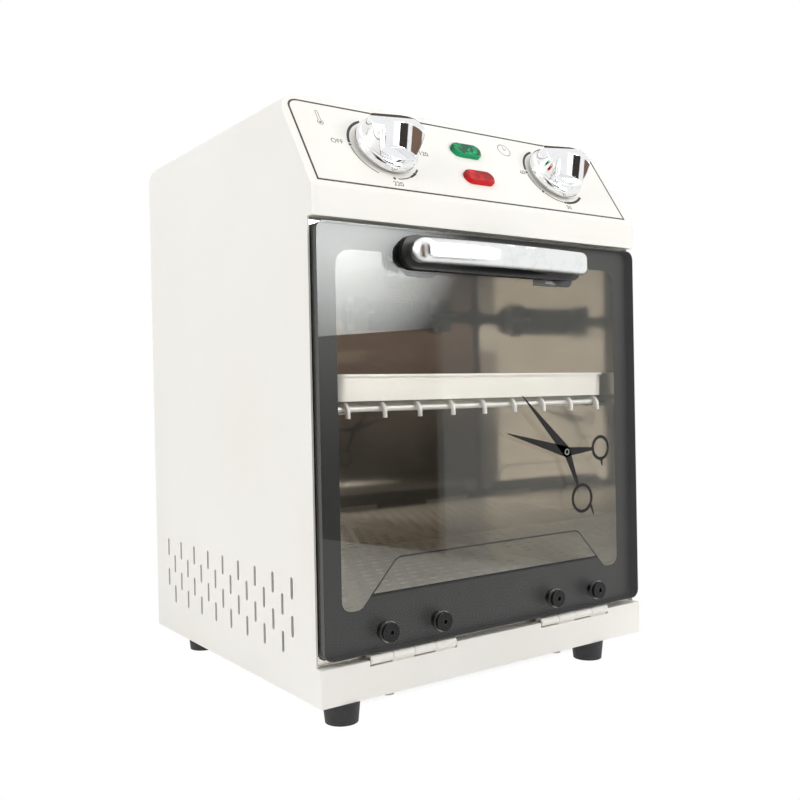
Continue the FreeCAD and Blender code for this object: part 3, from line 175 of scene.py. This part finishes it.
def tone(code):
    """A colour written as it looks on a screen, as the shader's linear numbers."""
    parts = [int(code[start : start + 2], 16) / 255 for start in (0, 2, 4)]
    return tuple(((part + 0.055) / 1.055) ** 2.4 for part in parts) + (1.0,)


# Finishes


def powder_coat(name, colour, dusk):
    """Baked powder paint: fine orange peel, a satin sheen and a faint cloudiness."""
    finish = Finish(name)
    cloud = finish.noise(9, detail=3)
    peel = finish.noise(1500, detail=2, rough=0.55)
    speck = finish.noise(5200, detail=1)
    shade = finish.mix(cloud.spread(0.35, 0.75), tone(colour), tone(dusk))
    rough = 0.36 + 0.1 * peel + 0.05 * cloud
    normal = finish.bump(peel + 0.35 * speck, 0.00006, 0.45)
    return finish.done(finish.surface(Base_Color=shade, Roughness=rough, Normal=normal))


def brushed_steel(name, colour, rough, streak, grain=(60, 1, 1), deep=0.00002):
    """Rolled or brushed metal, with its grain along one way and a few smudges."""
    finish = Finish(name)
    lines = finish.noise(90, detail=4, rough=0.7, stretch=grain)
    smudge = finish.noise(22, detail=3, rough=0.6)
    shade = finish.mix(lines.spread(0.2, 0.8), tone(colour), tone(streak))
    worn = rough + 0.14 * lines + 0.1 * smudge.spread(0.45, 0.75)
    normal = finish.bump(lines, deep, 0.5)
    return finish.done(
        finish.surface(Base_Color=shade, Metallic=1.0, Roughness=worn, Normal=normal)
    )


def mirror_sheet(name, colour, haze):
    """Mirror-polished sheet that isn't quite flat, with wiped haze on it."""
    finish = Finish(name)
    wave = finish.noise(7, detail=0)
    wipe = finish.noise(26, detail=5, rough=0.65, stretch=(1, 1, 2.4))
    scratch = finish.noise(240, detail=3, rough=0.8, stretch=(1, 1, 14))
    shade = finish.mix(wipe.spread(0.45, 0.85), tone(colour), tone(haze))
    rough = 0.03 + 0.07 * wipe.spread(0.5, 0.85) + 0.02 * scratch
    normal = finish.bump(wave + 0.002 * scratch, 0.0007, 0.5)
    return finish.done(
        finish.surface(Base_Color=shade, Metallic=0.9, Roughness=rough, Normal=normal)
    )


def satin_sheet(name, colour, streak, metal):
    """Bead-blasted sheet that scatters more light than it mirrors, with handling marks."""
    finish = Finish(name)
    blast = finish.noise(2400, detail=2, rough=0.6)
    marks = finish.noise(34, detail=4, rough=0.65)
    shade = finish.mix(marks.spread(0.3, 0.75), tone(colour), tone(streak))
    rough = 0.4 + 0.1 * blast - 0.06 * marks.spread(0.5, 0.85)
    normal = finish.bump(blast, 0.00003, 0.5)
    return finish.done(
        finish.surface(Base_Color=shade, Metallic=metal, Roughness=rough, Normal=normal)
    )


def chrome(name, colour, shadow, rough=0.03, soften=0.0006):
    """Bright plating with a breath of haze and the ripple of the casting below it."""
    finish = Finish(name)
    ripple = finish.noise(70, detail=2)
    haze = finish.noise(160, detail=4, rough=0.6)
    shade = finish.mix(haze.spread(0.5, 0.9), tone(colour), tone(shadow))
    worn = rough + 0.07 * haze.spread(0.45, 0.85)
    normal = finish.bump(ripple, 0.0001, 0.3, soften)
    return finish.done(
        finish.surface(Base_Color=shade, Metallic=1.0, Roughness=worn, Normal=normal)
    )


def rubber(name, colour, dusty):
    """Matt moulded rubber with a dusty bloom."""
    finish = Finish(name)
    bloom = finish.noise(180, detail=4, rough=0.6)
    pores = finish.noise(2600, detail=2)
    shade = finish.mix(bloom.spread(0.4, 0.8), tone(colour), tone(dusty))
    rough = 0.5 + 0.18 * bloom
    normal = finish.bump(pores, 0.00005, 0.5)
    return finish.done(finish.surface(Base_Color=shade, Roughness=rough, Normal=normal))


def moulded(name, colour, pale, rough=0.35):
    """Moulded plastic with a fine spark-eroded texture."""
    finish = Finish(name)
    grain = finish.noise(1900, detail=3, rough=0.6)
    flow = finish.noise(40, detail=2)
    shade = finish.mix(flow.spread(0.35, 0.8), tone(colour), tone(pale))
    worn = rough + 0.12 * grain
    normal = finish.bump(grain, 0.00004, 0.5)
    return finish.done(finish.surface(Base_Color=shade, Roughness=worn, Normal=normal))


def plated_screw(name, colour, oxide, rough):
    """Zinc or black oxide on a small screw, rubbed bare where a driver sits."""
    finish = Finish(name)
    spots = finish.noise(900, detail=4, rough=0.65)
    worn = finish.edge_wear(0.0003)
    shade = finish.mix(spots.spread(0.35, 0.75), tone(colour), tone(oxide))
    shade = finish.mix(worn * 0.5, shade, tone("B9B8B4"))
    gloss = rough + 0.15 * spots
    normal = finish.bump(spots, 0.00003, 0.5)
    return finish.done(
        finish.surface(Base_Color=shade, Metallic=1.0, Roughness=gloss, Normal=normal)
    )


def lamp_lens(name, deep, bright, glow):
    """A coloured window lens, dark in its middle, with small prisms; painted highlights make random
    prism facets and the edges that face down the slope brighter, and make them glow more.
    """
    finish = Finish(name)
    settings = {"feature": "F1", "distance": "CHEBYCHEV"}
    inputs = {"Vector": finish.place, "Scale": 420, "Randomness": 0.8}
    prisms = finish.node("TexVoronoi", settings, inputs, "Distance")
    # Painted highlights: random prism facets away from the rim, and edges that face down the slope, get
    # the brighter tone.
    facet_glint = finish.node("TexVoronoi", settings, inputs, "Color")
    rim = 1 - finish.faces(PANEL_NORMAL).spread(0.8, 0.97)
    down_facing_highlight = finish.faces(PANEL_DOWN).spread(0.1, 0.5)
    light = (facet_glint.spread(0.5, 0.95) * (1 - rim) + 0.5 * down_facing_highlight).at_most(1)
    shade = finish.mix(light, tone(deep), tone(bright))
    normal = finish.bump(prisms, 0.0005, 0.45, soften=0.0005)
    # The glow colour follows the same painted highlights.
    shine = finish.mix(light, tone(deep), tone(glow))
    return finish.done(
        finish.surface(
            Base_Color=shade,
            Roughness=0.14,
            Normal=normal,
            Specular_IOR_Level=0.25,
            Emission_Color=shine,
            Emission_Strength=0.3,
        )
    )


def wool(name, colour, shade_colour):
    """Pressed mineral wool."""
    finish = Finish(name)
    fibre = finish.noise(420, detail=6, rough=0.75, stretch=(1, 1, 5))
    tuft = finish.noise(60, detail=3)
    shade = finish.mix(fibre.spread(0.3, 0.7), tone(colour), tone(shade_colour))
    normal = finish.bump(fibre + tuft, 0.0009, 0.8)
    return finish.done(finish.surface(Base_Color=shade, Roughness=0.95, Normal=normal))


def tempered_pane(name):
    """Clear glass that mirrors as glass does and lets straight light through."""
    finish = Finish(name)
    side_on = finish.node("LayerWeight", {}, {"Blend": 0.5}, "Facing")
    mirrored = 0.04 + 0.96 * side_on**5
    wipe = finish.noise(30, detail=4, rough=0.6, stretch=(1, 1, 2))
    film = 0.012 * wipe.spread(0.5, 0.9)
    clear = finish.node("BsdfTransparent", {}, {"Color": (0.97, 0.965, 0.955, 1)})
    shine = finish.surface(
        Base_Color=tone("E8ECEA"),
        Metallic=1.0,
        Roughness=0.01 + 0.05 * wipe.spread(0.55, 0.9),
    )
    inputs = {0: mirrored + film, 1: clear, 2: shine}
    return finish.done(finish.node("MixShader", {}, inputs))


def ink(name, colour, thin, dull=0.38):
    """Screen-printed enamel, a little uneven in its cover."""
    finish = Finish(name)
    cover = finish.noise(260, detail=3)
    dots = finish.noise(3000, detail=1)
    shade = finish.mix(cover.spread(0.35, 0.8), tone(colour), tone(thin))
    normal = finish.bump(dots, 0.000002, 0.2)
    rough = dull + 0.05 * cover
    return finish.done(finish.surface(Base_Color=shade, Roughness=rough, Normal=normal))


FINISHES = {
    "case_coat": powder_coat("cream_powder_coat", "F3F1EC", "EFEDE6"),
    "back_coat": powder_coat("cream_powder_coat_rear", "F2F0EA", "EEEBE4"),
    "hinge_coat": powder_coat("cream_hinge_coat", "F3F1EB", "EFECE4"),
    "plated_sheet": brushed_steel("zinc_plated_sheet", "B4B6B8", 0.36, "C6C8C9"),
    "mirror_steel": mirror_sheet("mirror_polished_steel", "E6E1D8", "DAD5CB"),
    "polished_floor": satin_sheet("perforated_bright_steel", "EEECE6", "F4F2ED", 0.6),
    "tray_steel": satin_sheet("satin_tray_steel", "ECEAE3", "F2F0EA", 0.55),
    "rack_chrome": satin_sheet("bright_rack_wire", "F4F3EF", "EBEAE6", 0.5),
    "heater_sheath": brushed_steel("heated_sheath", "6E675F", 0.42, "8A7B68"),
    "brass_fitting": brushed_steel("brass_fitting", "B99A56", 0.3, "C9AD6C"),
    "mineral_wool": wool("mineral_wool", "B9A983", "8F8160"),
    "switch_case": moulded("phenolic_switch_case", "2B2725", "38332F"),
    "shaft_steel": brushed_steel("turned_shaft_steel", "B7B6B2", 0.26, "C9C8C4"),
    "bulb_copper": brushed_steel("bright_copper", "B8714C", 0.28, "C98660"),
    "knob_chrome": chrome("knob_chrome", "EFF0F1", "DFE0E1", 0.025),
    "handle_chrome": chrome("handle_chrome", "EEEFEF", "DEDFDF", 0.03, 0.004),
    "handle_backing": moulded("handle_backing", "151515", "1D1D1D", 0.3),
    "green_glow": lamp_lens("green_lens", "005232", "00A566", "00C880"),
    "red_glow": lamp_lens("red_lens", "8C0004", "D01018", "F0202A"),
    "lamp_plastic": moulded("lamp_holder_plastic", "D9D6CC", "E4E1D8"),
    "gland_plastic": moulded("gland_nylon", "232323", "2E2E2E"),
    "seal_rubber": rubber("silicone_seal", "55534F", "6B6863"),
    "foot_rubber": rubber("foot_rubber", "1E1E1F", "343435"),
    "zinc_screw": plated_screw("zinc_screw", "A9A9A6", "8E8D88", 0.28),
    "dark_screw": plated_screw("black_oxide_screw", "3A3A3A", "2C2B2B", 0.3),
    "door_pane": tempered_pane("tempered_pane"),
}
BLACK_PRINT = ink("black_glass_print", "161515", "1C1B1A")
MATT_PRINT = ink("matt_glass_print", "0E0D0D", "141212", 0.8)
GREY_PRINT = ink("grey_glass_print", "8F8D88", "9A9893")
PANEL_INK = ink("panel_ink", "141211", "24201E")
LINE_INK = ink("panel_line_ink", "241E1B", "342D29")
PALE_INK = ink("pale_panel_ink", "6F6A64", "88837C")

slot_of = {}
for entry in frame["record"]["materials"]:
    for part in entry.get("nodes", []):
        slot_of[part] = entry["slot"]
for part, solid in nodes.items():
    for held in solid.material_slots:
        slot_name = held.material.name.split(".")[0] if held.material else ""
        held.material = FINISHES.get(slot_name) or FINISHES[slot_of[part]]
for held in nodes["door_washers"].material_slots:
    held.material = FINISHES["zinc_screw"]


# Shapes


def settle(name, mesh, body, material, place=Matrix.Identity(4)):
    """Makes an object of a bmesh, sets it in place and lets it ride on body."""
    bmesh.ops.transform(mesh, matrix=place, verts=mesh.verts)
    data = bpy.data.meshes.new(name)
    mesh.to_mesh(data)
    mesh.free()
    piece = bpy.data.objects.new(name, data)
    bpy.context.scene.collection.objects.link(piece)
    data.materials.append(material)
    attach(piece, body)
    return piece


def outline(mesh, corners, steps=6):
    """Adds a flat face through corners of (across, up, rounding), all in millimetres."""
    points = [mesh.verts.new((x * MM, z * MM, 0)) for x, z, rounding in corners]
    face = mesh.faces.new(points)
    for point, (x, z, rounding) in zip(points, corners):
        if rounding:
            bmesh.ops.bevel(
                mesh,
                geom=[point],
                affect="VERTICES",
                offset=rounding * MM,
                segments=steps,
                profile=0.5,
                material=-1,
            )
    return face


def film(mesh, thick=0.03):
    """Gives flat faces a thickness in millimetres, towards the viewer."""
    flat = mesh.faces[:]
    grown = bmesh.ops.extrude_face_region(mesh, geom=flat, use_keep_orig=True)
    raised = [item for item in grown["geom"] if isinstance(item, bmesh.types.BMVert)]
    bmesh.ops.translate(mesh, verts=raised, vec=(0, 0, thick * MM))
    bmesh.ops.recalc_face_normals(mesh, faces=mesh.faces)
    return mesh


def ring_line(mesh, wide):
    """Leaves only a band of that width in millimetres along the rim of each face."""
    rims = mesh.faces[:]
    bmesh.ops.inset_region(
        mesh, faces=rims, thickness=wide * MM, use_even_offset=True, use_boundary=True
    )
    bmesh.ops.delete(mesh, geom=rims, context="FACES")
    return mesh


def disc(mesh, x, z, radius, steps=24):
    """Adds a flat round face, in millimetres."""
    spot = Matrix.Translation((x * MM, z * MM, 0))
    bmesh.ops.create_circle(
        mesh, cap_ends=True, segments=steps, radius=radius * MM, matrix=spot
    )
    return mesh


def arc_band(mesh, centre, radius, wide, start, stop):
    """Adds a flat band along an arc, in millimetres, from start to stop in degrees."""
    x, z = centre
    inner = mesh.verts.new(((x + radius - wide / 2) * MM, z * MM, 0))
    outer = mesh.verts.new(((x + radius + wide / 2) * MM, z * MM, 0))
    edge = mesh.edges.new((inner, outer))
    middle = (x * MM, z * MM, 0)
    bmesh.ops.rotate(
        mesh,
        cent=middle,
        matrix=Matrix.Rotation(radians(start), 3, "Z"),
        verts=[inner, outer],
    )
    bmesh.ops.spin(
        mesh,
        geom=[inner, outer, edge],
        cent=middle,
        axis=(0, 0, 1),
        angle=radians(stop - start),
        steps=max(4, round(abs(stop - start) / 5)),
    )
    return mesh


def stroke(mesh, start, stop, wide_start, wide_stop):
    """Adds a flat tapered bar between two points, in millimetres."""
    way = Vector(stop) - Vector(start)
    side = Vector((-way.y, way.x)).normalized()
    corners = [
        Vector(start) + side * wide_start / 2,
        Vector(start) - side * wide_start / 2,
        Vector(stop) - side * wide_stop / 2,
        Vector(stop) + side * wide_stop / 2,
    ]
    outline(mesh, [(corner.x, corner.y, 0) for corner in corners])
    return mesh


def word(mesh, letters, x, z, size):
    """Adds flat characters centred on a point, in millimetres."""
    curve = bpy.data.curves.new("characters", "FONT")
    curve.body = letters
    curve.size = size * MM
    curve.align_x = "CENTER"
    curve.align_y = "CENTER"
    holder = bpy.data.objects.new("characters", curve)
    data = bpy.data.meshes.new_from_object(holder)
    data.transform(Matrix.Translation((x * MM, z * MM, 0)))
    mesh.from_mesh(data)
    bpy.data.objects.remove(holder)
    bpy.data.curves.remove(curve)
    bpy.data.meshes.remove(data)
    return mesh


def both_ways(corners):
    """The corners of a left half, joined to their mirror image."""
    return corners + [(-x, z, rounding) for x, z, rounding in reversed(corners)]


# The camera, fitted to the photograph's edges

PICTURE = 800
FOCAL_PIXELS = 923.8
FILM_WIDTH = 36
turn = radians(-35.24)
rise = radians(0.58)
roll = radians(-1.14)
backward = Vector((sin(turn) * cos(rise), -cos(turn) * cos(rise), sin(rise)))
level = (-backward).cross(Vector((0, 0, 1))).normalized()
upright = level.cross(-backward)
across = level * cos(roll) + upright * sin(roll)
upward = upright * cos(roll) - level * sin(roll)
eye = Vector((-328.4, -480.3, 159.7)) * MM
lens = bpy.data.cameras.new("camera")
lens.sensor_width = FILM_WIDTH
lens.lens = FOCAL_PIXELS / PICTURE * FILM_WIDTH
lens.clip_start = 0.01
camera = bpy.data.objects.new("camera", lens)
camera.matrix_world = Matrix.Translation(eye) @ Matrix(
    (across, upward, backward)
).transposed().to_4x4()
bpy.context.scene.collection.objects.link(camera)
bpy.context.scene.camera = camera

# Printing on the back of the door glass

glass_low, glass_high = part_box("door_glass")
PRINT_INSIDE = 0.05
INK_THICK = 0.03
glass_print = Matrix(
    (
        (1, 0, 0, 0),
        (0, 0, -1, glass_high.y - PRINT_INSIDE * MM),
        (0, 1, 0, 0),
        (0, 0, 0, 1),
    )
)
RIM_LEFT = -97.0
RIM_TOP = 228.7
RIM_MIDDLE = 220.3
RIM_FOOT = 60.0
NOTCH_FOOT = 217.2
LOBE_FOOT = 53.0
window = both_ways(
    [
        (0, RIM_MIDDLE, 0),
        (-34.5, RIM_MIDDLE, 0.8),
        (-39.0, NOTCH_FOOT, 0.8),
        (-55.0, NOTCH_FOOT, 2.0),
        (-67.6, RIM_TOP, 1.6),
        (RIM_LEFT, RIM_TOP, 8.5),
        (RIM_LEFT, LOBE_FOOT, 5.3),
        (-86.0, LOBE_FOOT, 2.2),
        (-79.6, RIM_FOOT, 0.6),
    ]
)[1:]
# The notch at the right stands further out: how far each of its corners moves

RIGHT_NOTCH = {34.5: 12.5, 39.0: 12.5, 55.0: 6.0, 67.6: 0.9}
window = [(x + RIGHT_NOTCH.get(x, 0), z, rounding) for x, z, rounding in window]
GLASS_ROUND = 5.0
BORDER_GAP = 0.3
EDGE_GAP = 0.08
EDGE_WIDE = 0.3


def pane_corners(gap):
    """The pane's outline, drawn in by a gap in millimetres."""
    left, right = glass_low.x / MM + gap, glass_high.x / MM - gap
    foot, top = glass_low.z / MM + gap, glass_high.z / MM - gap
    spots = [(left, foot), (right, foot), (right, top), (left, top)]
    return [(x, z, GLASS_ROUND - gap) for x, z in spots]


border = bmesh.new()
outline(border, pane_corners(BORDER_GAP))
outline(border, window)
bmesh.ops.delete(border, geom=border.faces[:], context="FACES_ONLY")
bmesh.ops.triangle_fill(border, use_beauty=True, edges=border.edges[:])
settle("window_border_print", film(border), "door", BLACK_PRINT, glass_print)
# The black band through the pane's thickness along its rim is painted shade: it stands in for the dark
# look of the glass's ground edge, and is not print.
ground_edge = bmesh.new()
outline(ground_edge, pane_corners(EDGE_GAP))
ring_line(ground_edge, EDGE_WIDE)
edge_deep = (glass_high.y - glass_low.y) / MM - 4 * PRINT_INSIDE
before_print = Matrix.Translation((0, -INK_THICK * 2 * MM, 0)) @ glass_print
settle("ground_edge_shade", film(ground_edge, edge_deep), "door", BLACK_PRINT, before_print)

# The thin frame line above the window's foot

LINE_WIDE = 0.9
LINE_TOP = 76.9
LINE_BELOW_RIM = 1.2
frame_line = bmesh.new()
trapezoid = both_ways(
    [
        (0, LINE_TOP, 0),
        (-64.2, LINE_TOP, 3.0),
        (-80.9, RIM_FOOT - LINE_BELOW_RIM, 0),
    ]
)[1:]
outline(frame_line, trapezoid)
ring_line(frame_line, LINE_WIDE)
settle("window_frame_line", film(frame_line), "door", BLACK_PRINT, glass_print)

# A plain pair of scissors. Its places are drawn on the back of the glass, and brought to the
# front of it along the camera's lines

PIVOT = (56.6, 122.5)
BLADE_TIPS = [(22.5, 155.5), (11.0, 135.0)]
BLADE_TIP_WIDE = 0.5
BLADE_WIDE = 6.4
ARM_WIDE = 5.4
ARM_END_WIDE = 2.0
PIVOT_DISC = 3.2
PIVOT_RING = 1.5
PIVOT_RING_WIDE = 0.7
RINGS = [((68.3, 95.0), 8.6), ((84.4, 123.6), 7.4)]
RING_WIDE = 1.9
RING_INSIDE = 0.9
FINGER_RESTS = [((75.5, 90.4), (77.6, 84.6), 1.1), ((85.0, 116.6), (85.6, 113.0), 0.9)]
scissors = bmesh.new()
for tip, (centre, radius) in zip(BLADE_TIPS, RINGS):
    stroke(scissors, tip, PIVOT, BLADE_TIP_WIDE, BLADE_WIDE)
    reach = (Vector(centre) - Vector(PIVOT)).normalized()
    stroke(scissors, PIVOT, Vector(centre) - reach * radius, ARM_WIDE, ARM_END_WIDE)
    disc(scissors, *PIVOT, PIVOT_DISC)
    arc_band(scissors, centre, radius - RING_INSIDE, RING_WIDE, 0, 360)
for start, stop, wide in FINGER_RESTS:
    stroke(scissors, start, stop, RING_WIDE, wide)
nearer = (glass_low.y - eye.y) / (glass_print.translation.y - eye.y)
on_front = (
    Matrix.Translation((eye.x * (1 - nearer), glass_low.y, eye.z * (1 - nearer)))
    @ Matrix.Diagonal((nearer, 1, nearer, 1))
    @ Matrix.Translation((0, -glass_print.translation.y, 0))
    @ glass_print
)
settle("scissors_print", film(scissors), "door", MATT_PRINT, on_front)
pivot_mark = arc_band(bmesh.new(), PIVOT, PIVOT_RING, PIVOT_RING_WIDE, 0, 360)
before_scissors = Matrix.Translation((0, -INK_THICK * MM, 0)) @ on_front
settle("scissors_pivot_print", film(pivot_mark), "door", GREY_PRINT, before_scissors)

# Printing on the slanted panel: x across and up the slope from its foot

panel_low, panel_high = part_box("front_panel")
panel_print = Matrix.Translation(
    (0, panel_low.y, panel_high.z - PANEL_RISE * MM)
) @ Matrix.Rotation(slope, 4, "X")
PANEL_LENGTH = PANEL_RISE / sin(slope)
timer_x = (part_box("timer_knob")[0].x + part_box("timer_knob")[1].x) / 2 / MM
temperature_x = (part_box("temperature_knob")[0].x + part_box("temperature_knob")[1].x) / 2 / MM
ARC_RADIUS = 20.3
ARC_UP = 31.9
DOT_RADIUS = 0.85
BORDER_SIDE = 4.5
BORDER_FOOT = 3.6
BORDER_TOP = 3.7
BORDER_ROUND = 6.5
BORDER_WIDE = 1.1
half = panel_high.x / MM - BORDER_SIDE

panel_line = bmesh.new()
outline(
    panel_line,
    [
        (-half, BORDER_FOOT, 0),
        (half, BORDER_FOOT, 0),
        (half, PANEL_LENGTH - BORDER_TOP, BORDER_ROUND),
        (-half, PANEL_LENGTH - BORDER_TOP, BORDER_ROUND),
    ],
)
ring_line(panel_line, BORDER_WIDE)
settle("panel_border_line", film(panel_line), "case", LINE_INK, panel_print)


def dial_spot(centre, angle, radius):
    """A point at an angle in degrees round a dial."""
    return (
        centre + radius * cos(radians(angle)),
        ARC_UP + radius * sin(radians(angle)),
    )


def dial(name, centre, bands, dots, numbers):
    """The arcs, dots and numbers round one knob."""
    marks = bmesh.new()
    for start, stop, wide in bands:
        arc_band(marks, (centre, ARC_UP), ARC_RADIUS, wide, start, stop)
    for angle in dots:
        disc(marks, *dial_spot(centre, angle, ARC_RADIUS), DOT_RADIUS)
    for letters, angle, radius, size in numbers:
        word(marks, letters, *dial_spot(centre, angle, radius), size)
    settle(name, film(marks), "case", PANEL_INK, panel_print)


dial(
    "temperature_marks",
    temperature_x + 0.2,
    [(176, 112, 1.5), (-176, -118, 0.5), (-86, -60, 0.6), (-60, -48, 1.2), (-44, -34, 1.0)],
    [180, -93, -47],
    [("OFF", 178, 27.5, 4.2), ("220", -90, 24.0, 4.2), ("120", 4, 26.5, 4.2)],
)
dial(
    "timer_marks",
    timer_x + 0.8,
    [(172, 112, 1.4), (-177, -142, 0.6), (-134, -97, 0.6), (-90, -44, 1.5)],
    [178, -138, -93],
    [("60", 180, 23.8, 4.0), ("30", -90, 24.0, 4.0), ("5", 2, 24.6, 4.0)],
)

THERMOMETER = (-91.2, 45.2)
TUBE_FOOT = 1.4
TUBE_TOP = 7.6
TUBE_HALF = 0.7
TUBE_WALL = 0.35
CLOCK = (32.5, 48.4)
CLOCK_RADIUS = 4.3
CLOCK_LINE = 0.45
symbols = bmesh.new()
arc_band(symbols, THERMOMETER, 1.6, 0.4, 115, 425)
disc(symbols, *THERMOMETER, 0.8)
x, z = THERMOMETER
for side in (-TUBE_HALF, TUBE_HALF):
    stroke(symbols, (x + side, z + TUBE_FOOT), (x + side, z + TUBE_TOP), TUBE_WALL, TUBE_WALL)
arc_band(symbols, (x, z + TUBE_TOP), TUBE_HALF, TUBE_WALL, 0, 180)
arc_band(symbols, CLOCK, CLOCK_RADIUS, CLOCK_LINE, 0, 360)
for hand in ((0, 2.9), (2.2, 1.0)):
    stroke(symbols, CLOCK, (CLOCK[0] + hand[0], CLOCK[1] + hand[1]), CLOCK_LINE, CLOCK_LINE)
settle("panel_symbols", film(symbols), "case", PALE_INK, panel_print)

# The studio

FLOOR_REACH = 3.0
SHADE_WIDE = 0.1115
SHADE_DEEP = 0.105
SHADE_FULL = -0.07
SHADE_GONE = -0.02
floor_mesh = bmesh.new()
bmesh.ops.create_grid(floor_mesh, x_segments=2, y_segments=2, size=FLOOR_REACH)
floor_data = bpy.data.meshes.new("studio_floor")
floor_mesh.to_mesh(floor_data)
floor_mesh.free()
studio_floor = bpy.data.objects.new("studio_floor", floor_data)
bpy.context.scene.collection.objects.link(studio_floor)


def seen_plainly(finish):
    """1 for what the camera sees itself, in a mirror or through glass."""
    straight = finish.node("LightPath", output="Is Camera Ray")
    mirrored = finish.node("LightPath", output="Is Glossy Ray")
    through = finish.node("LightPath", output="Is Transmission Ray")
    return (straight + mirrored + through).at_most(1)


def paper_floor():
    """White paper that takes the shadow close by and is plain white further off."""
    finish = Finish("studio_paper")
    size = {"operation": "ABSOLUTE"}
    gaps = [
        finish.node("Math", size, {0: finish.node("SeparateXYZ", {}, {0: finish.place}, letter)}) - half
        for letter, half in (("X", SHADE_WIDE), ("Y", SHADE_DEEP))
    ]
    away = gaps[0].at_least(gaps[1])
    fade = away.spread(SHADE_FULL, SHADE_GONE) * seen_plainly(finish)
    fibre = finish.noise(300, detail=3)
    paper = finish.surface(
        Base_Color=finish.mix(fibre, tone("FCFCFB"), tone("FAFAF9")), Roughness=0.9
    )
    plain = finish.node("Emission", {}, {"Color": WHITE, "Strength": 1.0})
    return finish.done(finish.node("MixShader", {}, {0: fade, 1: paper, 2: plain}))


floor_data.materials.append(paper_floor())

world = bpy.data.worlds.new("studio")
world.use_nodes = True
bpy.context.scene.world = world
AMBIENT = 0.42


class Room(Finish):
    """The world's own tree, written the same way."""

    def __init__(self, world):
        self.tree = world.node_tree
        self.tree.nodes.clear()


room = Room(world)
seen = seen_plainly(room)
around = room.node(
    "Background", {}, {"Color": WHITE, "Strength": seen + (1 - seen) * AMBIENT}
)
room_end = room.tree.nodes.new("ShaderNodeOutputWorld")
room.tree.links.new(around.socket, room_end.inputs["Surface"])


def softbox(name, place, aim, size, power):
    """A square soft lamp at place that looks at aim."""
    lamp = bpy.data.lights.new(name, "AREA")
    lamp.shape = "SQUARE"
    lamp.size = size
    lamp.energy = power
    holder = bpy.data.objects.new(name, lamp)
    way = Vector(aim) - Vector(place)
    turned = way.to_track_quat("-Z", "Y").to_matrix().to_4x4()
    holder.matrix_world = Matrix.Translation(Vector(place)) @ turned
    bpy.context.scene.collection.objects.link(holder)
    return holder


softbox("side_softbox", (-1.6, -0.3, 0.9), (0, 0, 0.15), 1.1, 13.5)
softbox("top_softbox", (0.1, -0.5, 1.8), (0, 0, 0.15), 1.1, 4.0)
softbox("key_softbox", (0.5, -1.35, 1.2), (0, -0.1, 0.2), 0.35, 7.5)


def board(name, place, aim, wide, high, material):
    """A flat board that the camera doesn't see, but that shows in the glass and chrome."""
    sheet = bmesh.new()
    bmesh.ops.create_grid(sheet, x_segments=1, y_segments=1, size=0.5)
    bmesh.ops.scale(sheet, vec=(wide, high, 1), verts=sheet.verts)
    data = bpy.data.meshes.new(name)
    sheet.to_mesh(data)
    sheet.free()
    data.materials.append(material)
    stand = bpy.data.objects.new(name, data)
    way = Vector(aim) - Vector(place)
    turned = way.to_track_quat("Z", "Y").to_matrix().to_4x4()
    stand.matrix_world = Matrix.Translation(Vector(place)) @ turned
    bpy.context.scene.collection.objects.link(stand)
    stand.visible_camera = False
    return stand


def grey_card(name, low, high, start=-0.12, stop=0.14):
    """A card whose foot is darker than its top, blended between two heights from its middle."""
    finish = Finish(name)
    rise = finish.node("SeparateXYZ", {}, {0: finish.place}, "Y")
    nap = finish.noise(40, detail=3)
    shade = finish.mix((rise + 0.02 * nap).spread(start, stop), tone(low), tone(high))
    return finish.done(finish.surface(Base_Color=shade, Roughness=0.9))


def glowing_cloth(name, strength, core, rim):
    """The front of a softbox, bright in the middle and fading to its rim."""
    finish = Finish(name)
    length = {"operation": "LENGTH"}
    away = finish.node("VectorMath", length, {0: finish.place}, "Value")
    fade = 1 - away.spread(core, rim)
    lit = finish.node("Emission", {}, {"Color": WHITE, "Strength": fade * strength + 1})
    return finish.done(lit)


CARD_PLACE = Vector((0.193, -0.55, 0.11))
CARD_WAY = Vector((-0.968, 0.251, 0))
board(
    "dark_card",
    CARD_PLACE,
    CARD_PLACE + CARD_WAY,
    0.23,
    0.22,
    grey_card("grey_card", "4C4C4C", "C4C4C4", 0.0, 0.1),
)
board(
    "camera_screen",
    (-0.43, -0.66, 0.225),
    (0, -0.085, 0.225),
    0.36,
    0.45,
    grey_card("screen_cloth", "2C2622", "A08270", -0.15, 0.06),
)
board(
    "floor_cloth",
    (-0.34, -0.47, 0.003),
    (-0.34, -0.47, 1),
    0.4,
    0.36,
    grey_card("dark_felt", "2A2624", "36302C"),
)
board(
    "front_screen",
    (0.05, -1.0, 0.34),
    (-0.03, -0.12, 0.23),
    0.42,
    0.34,
    grey_card("front_cloth_dark", "3A3330", "4C433E"),
)
board(
    "back_flag",
    (0.65, 0.55, 1.07),
    (-0.06, -0.1, 0.29),
    0.5,
    0.5,
    grey_card("flag_cloth", "4A4038", "5C5048"),
)
board(
    "front_softbox",
    (0.52, -1.121, 0.445),
    (-0.09, -0.106, 0.222),
    0.5,
    0.42,
    glowing_cloth("front_cloth", 15.0, 0.04, 0.24),
)

view = bpy.context.scene.view_settings
view.view_transform = "Standard"
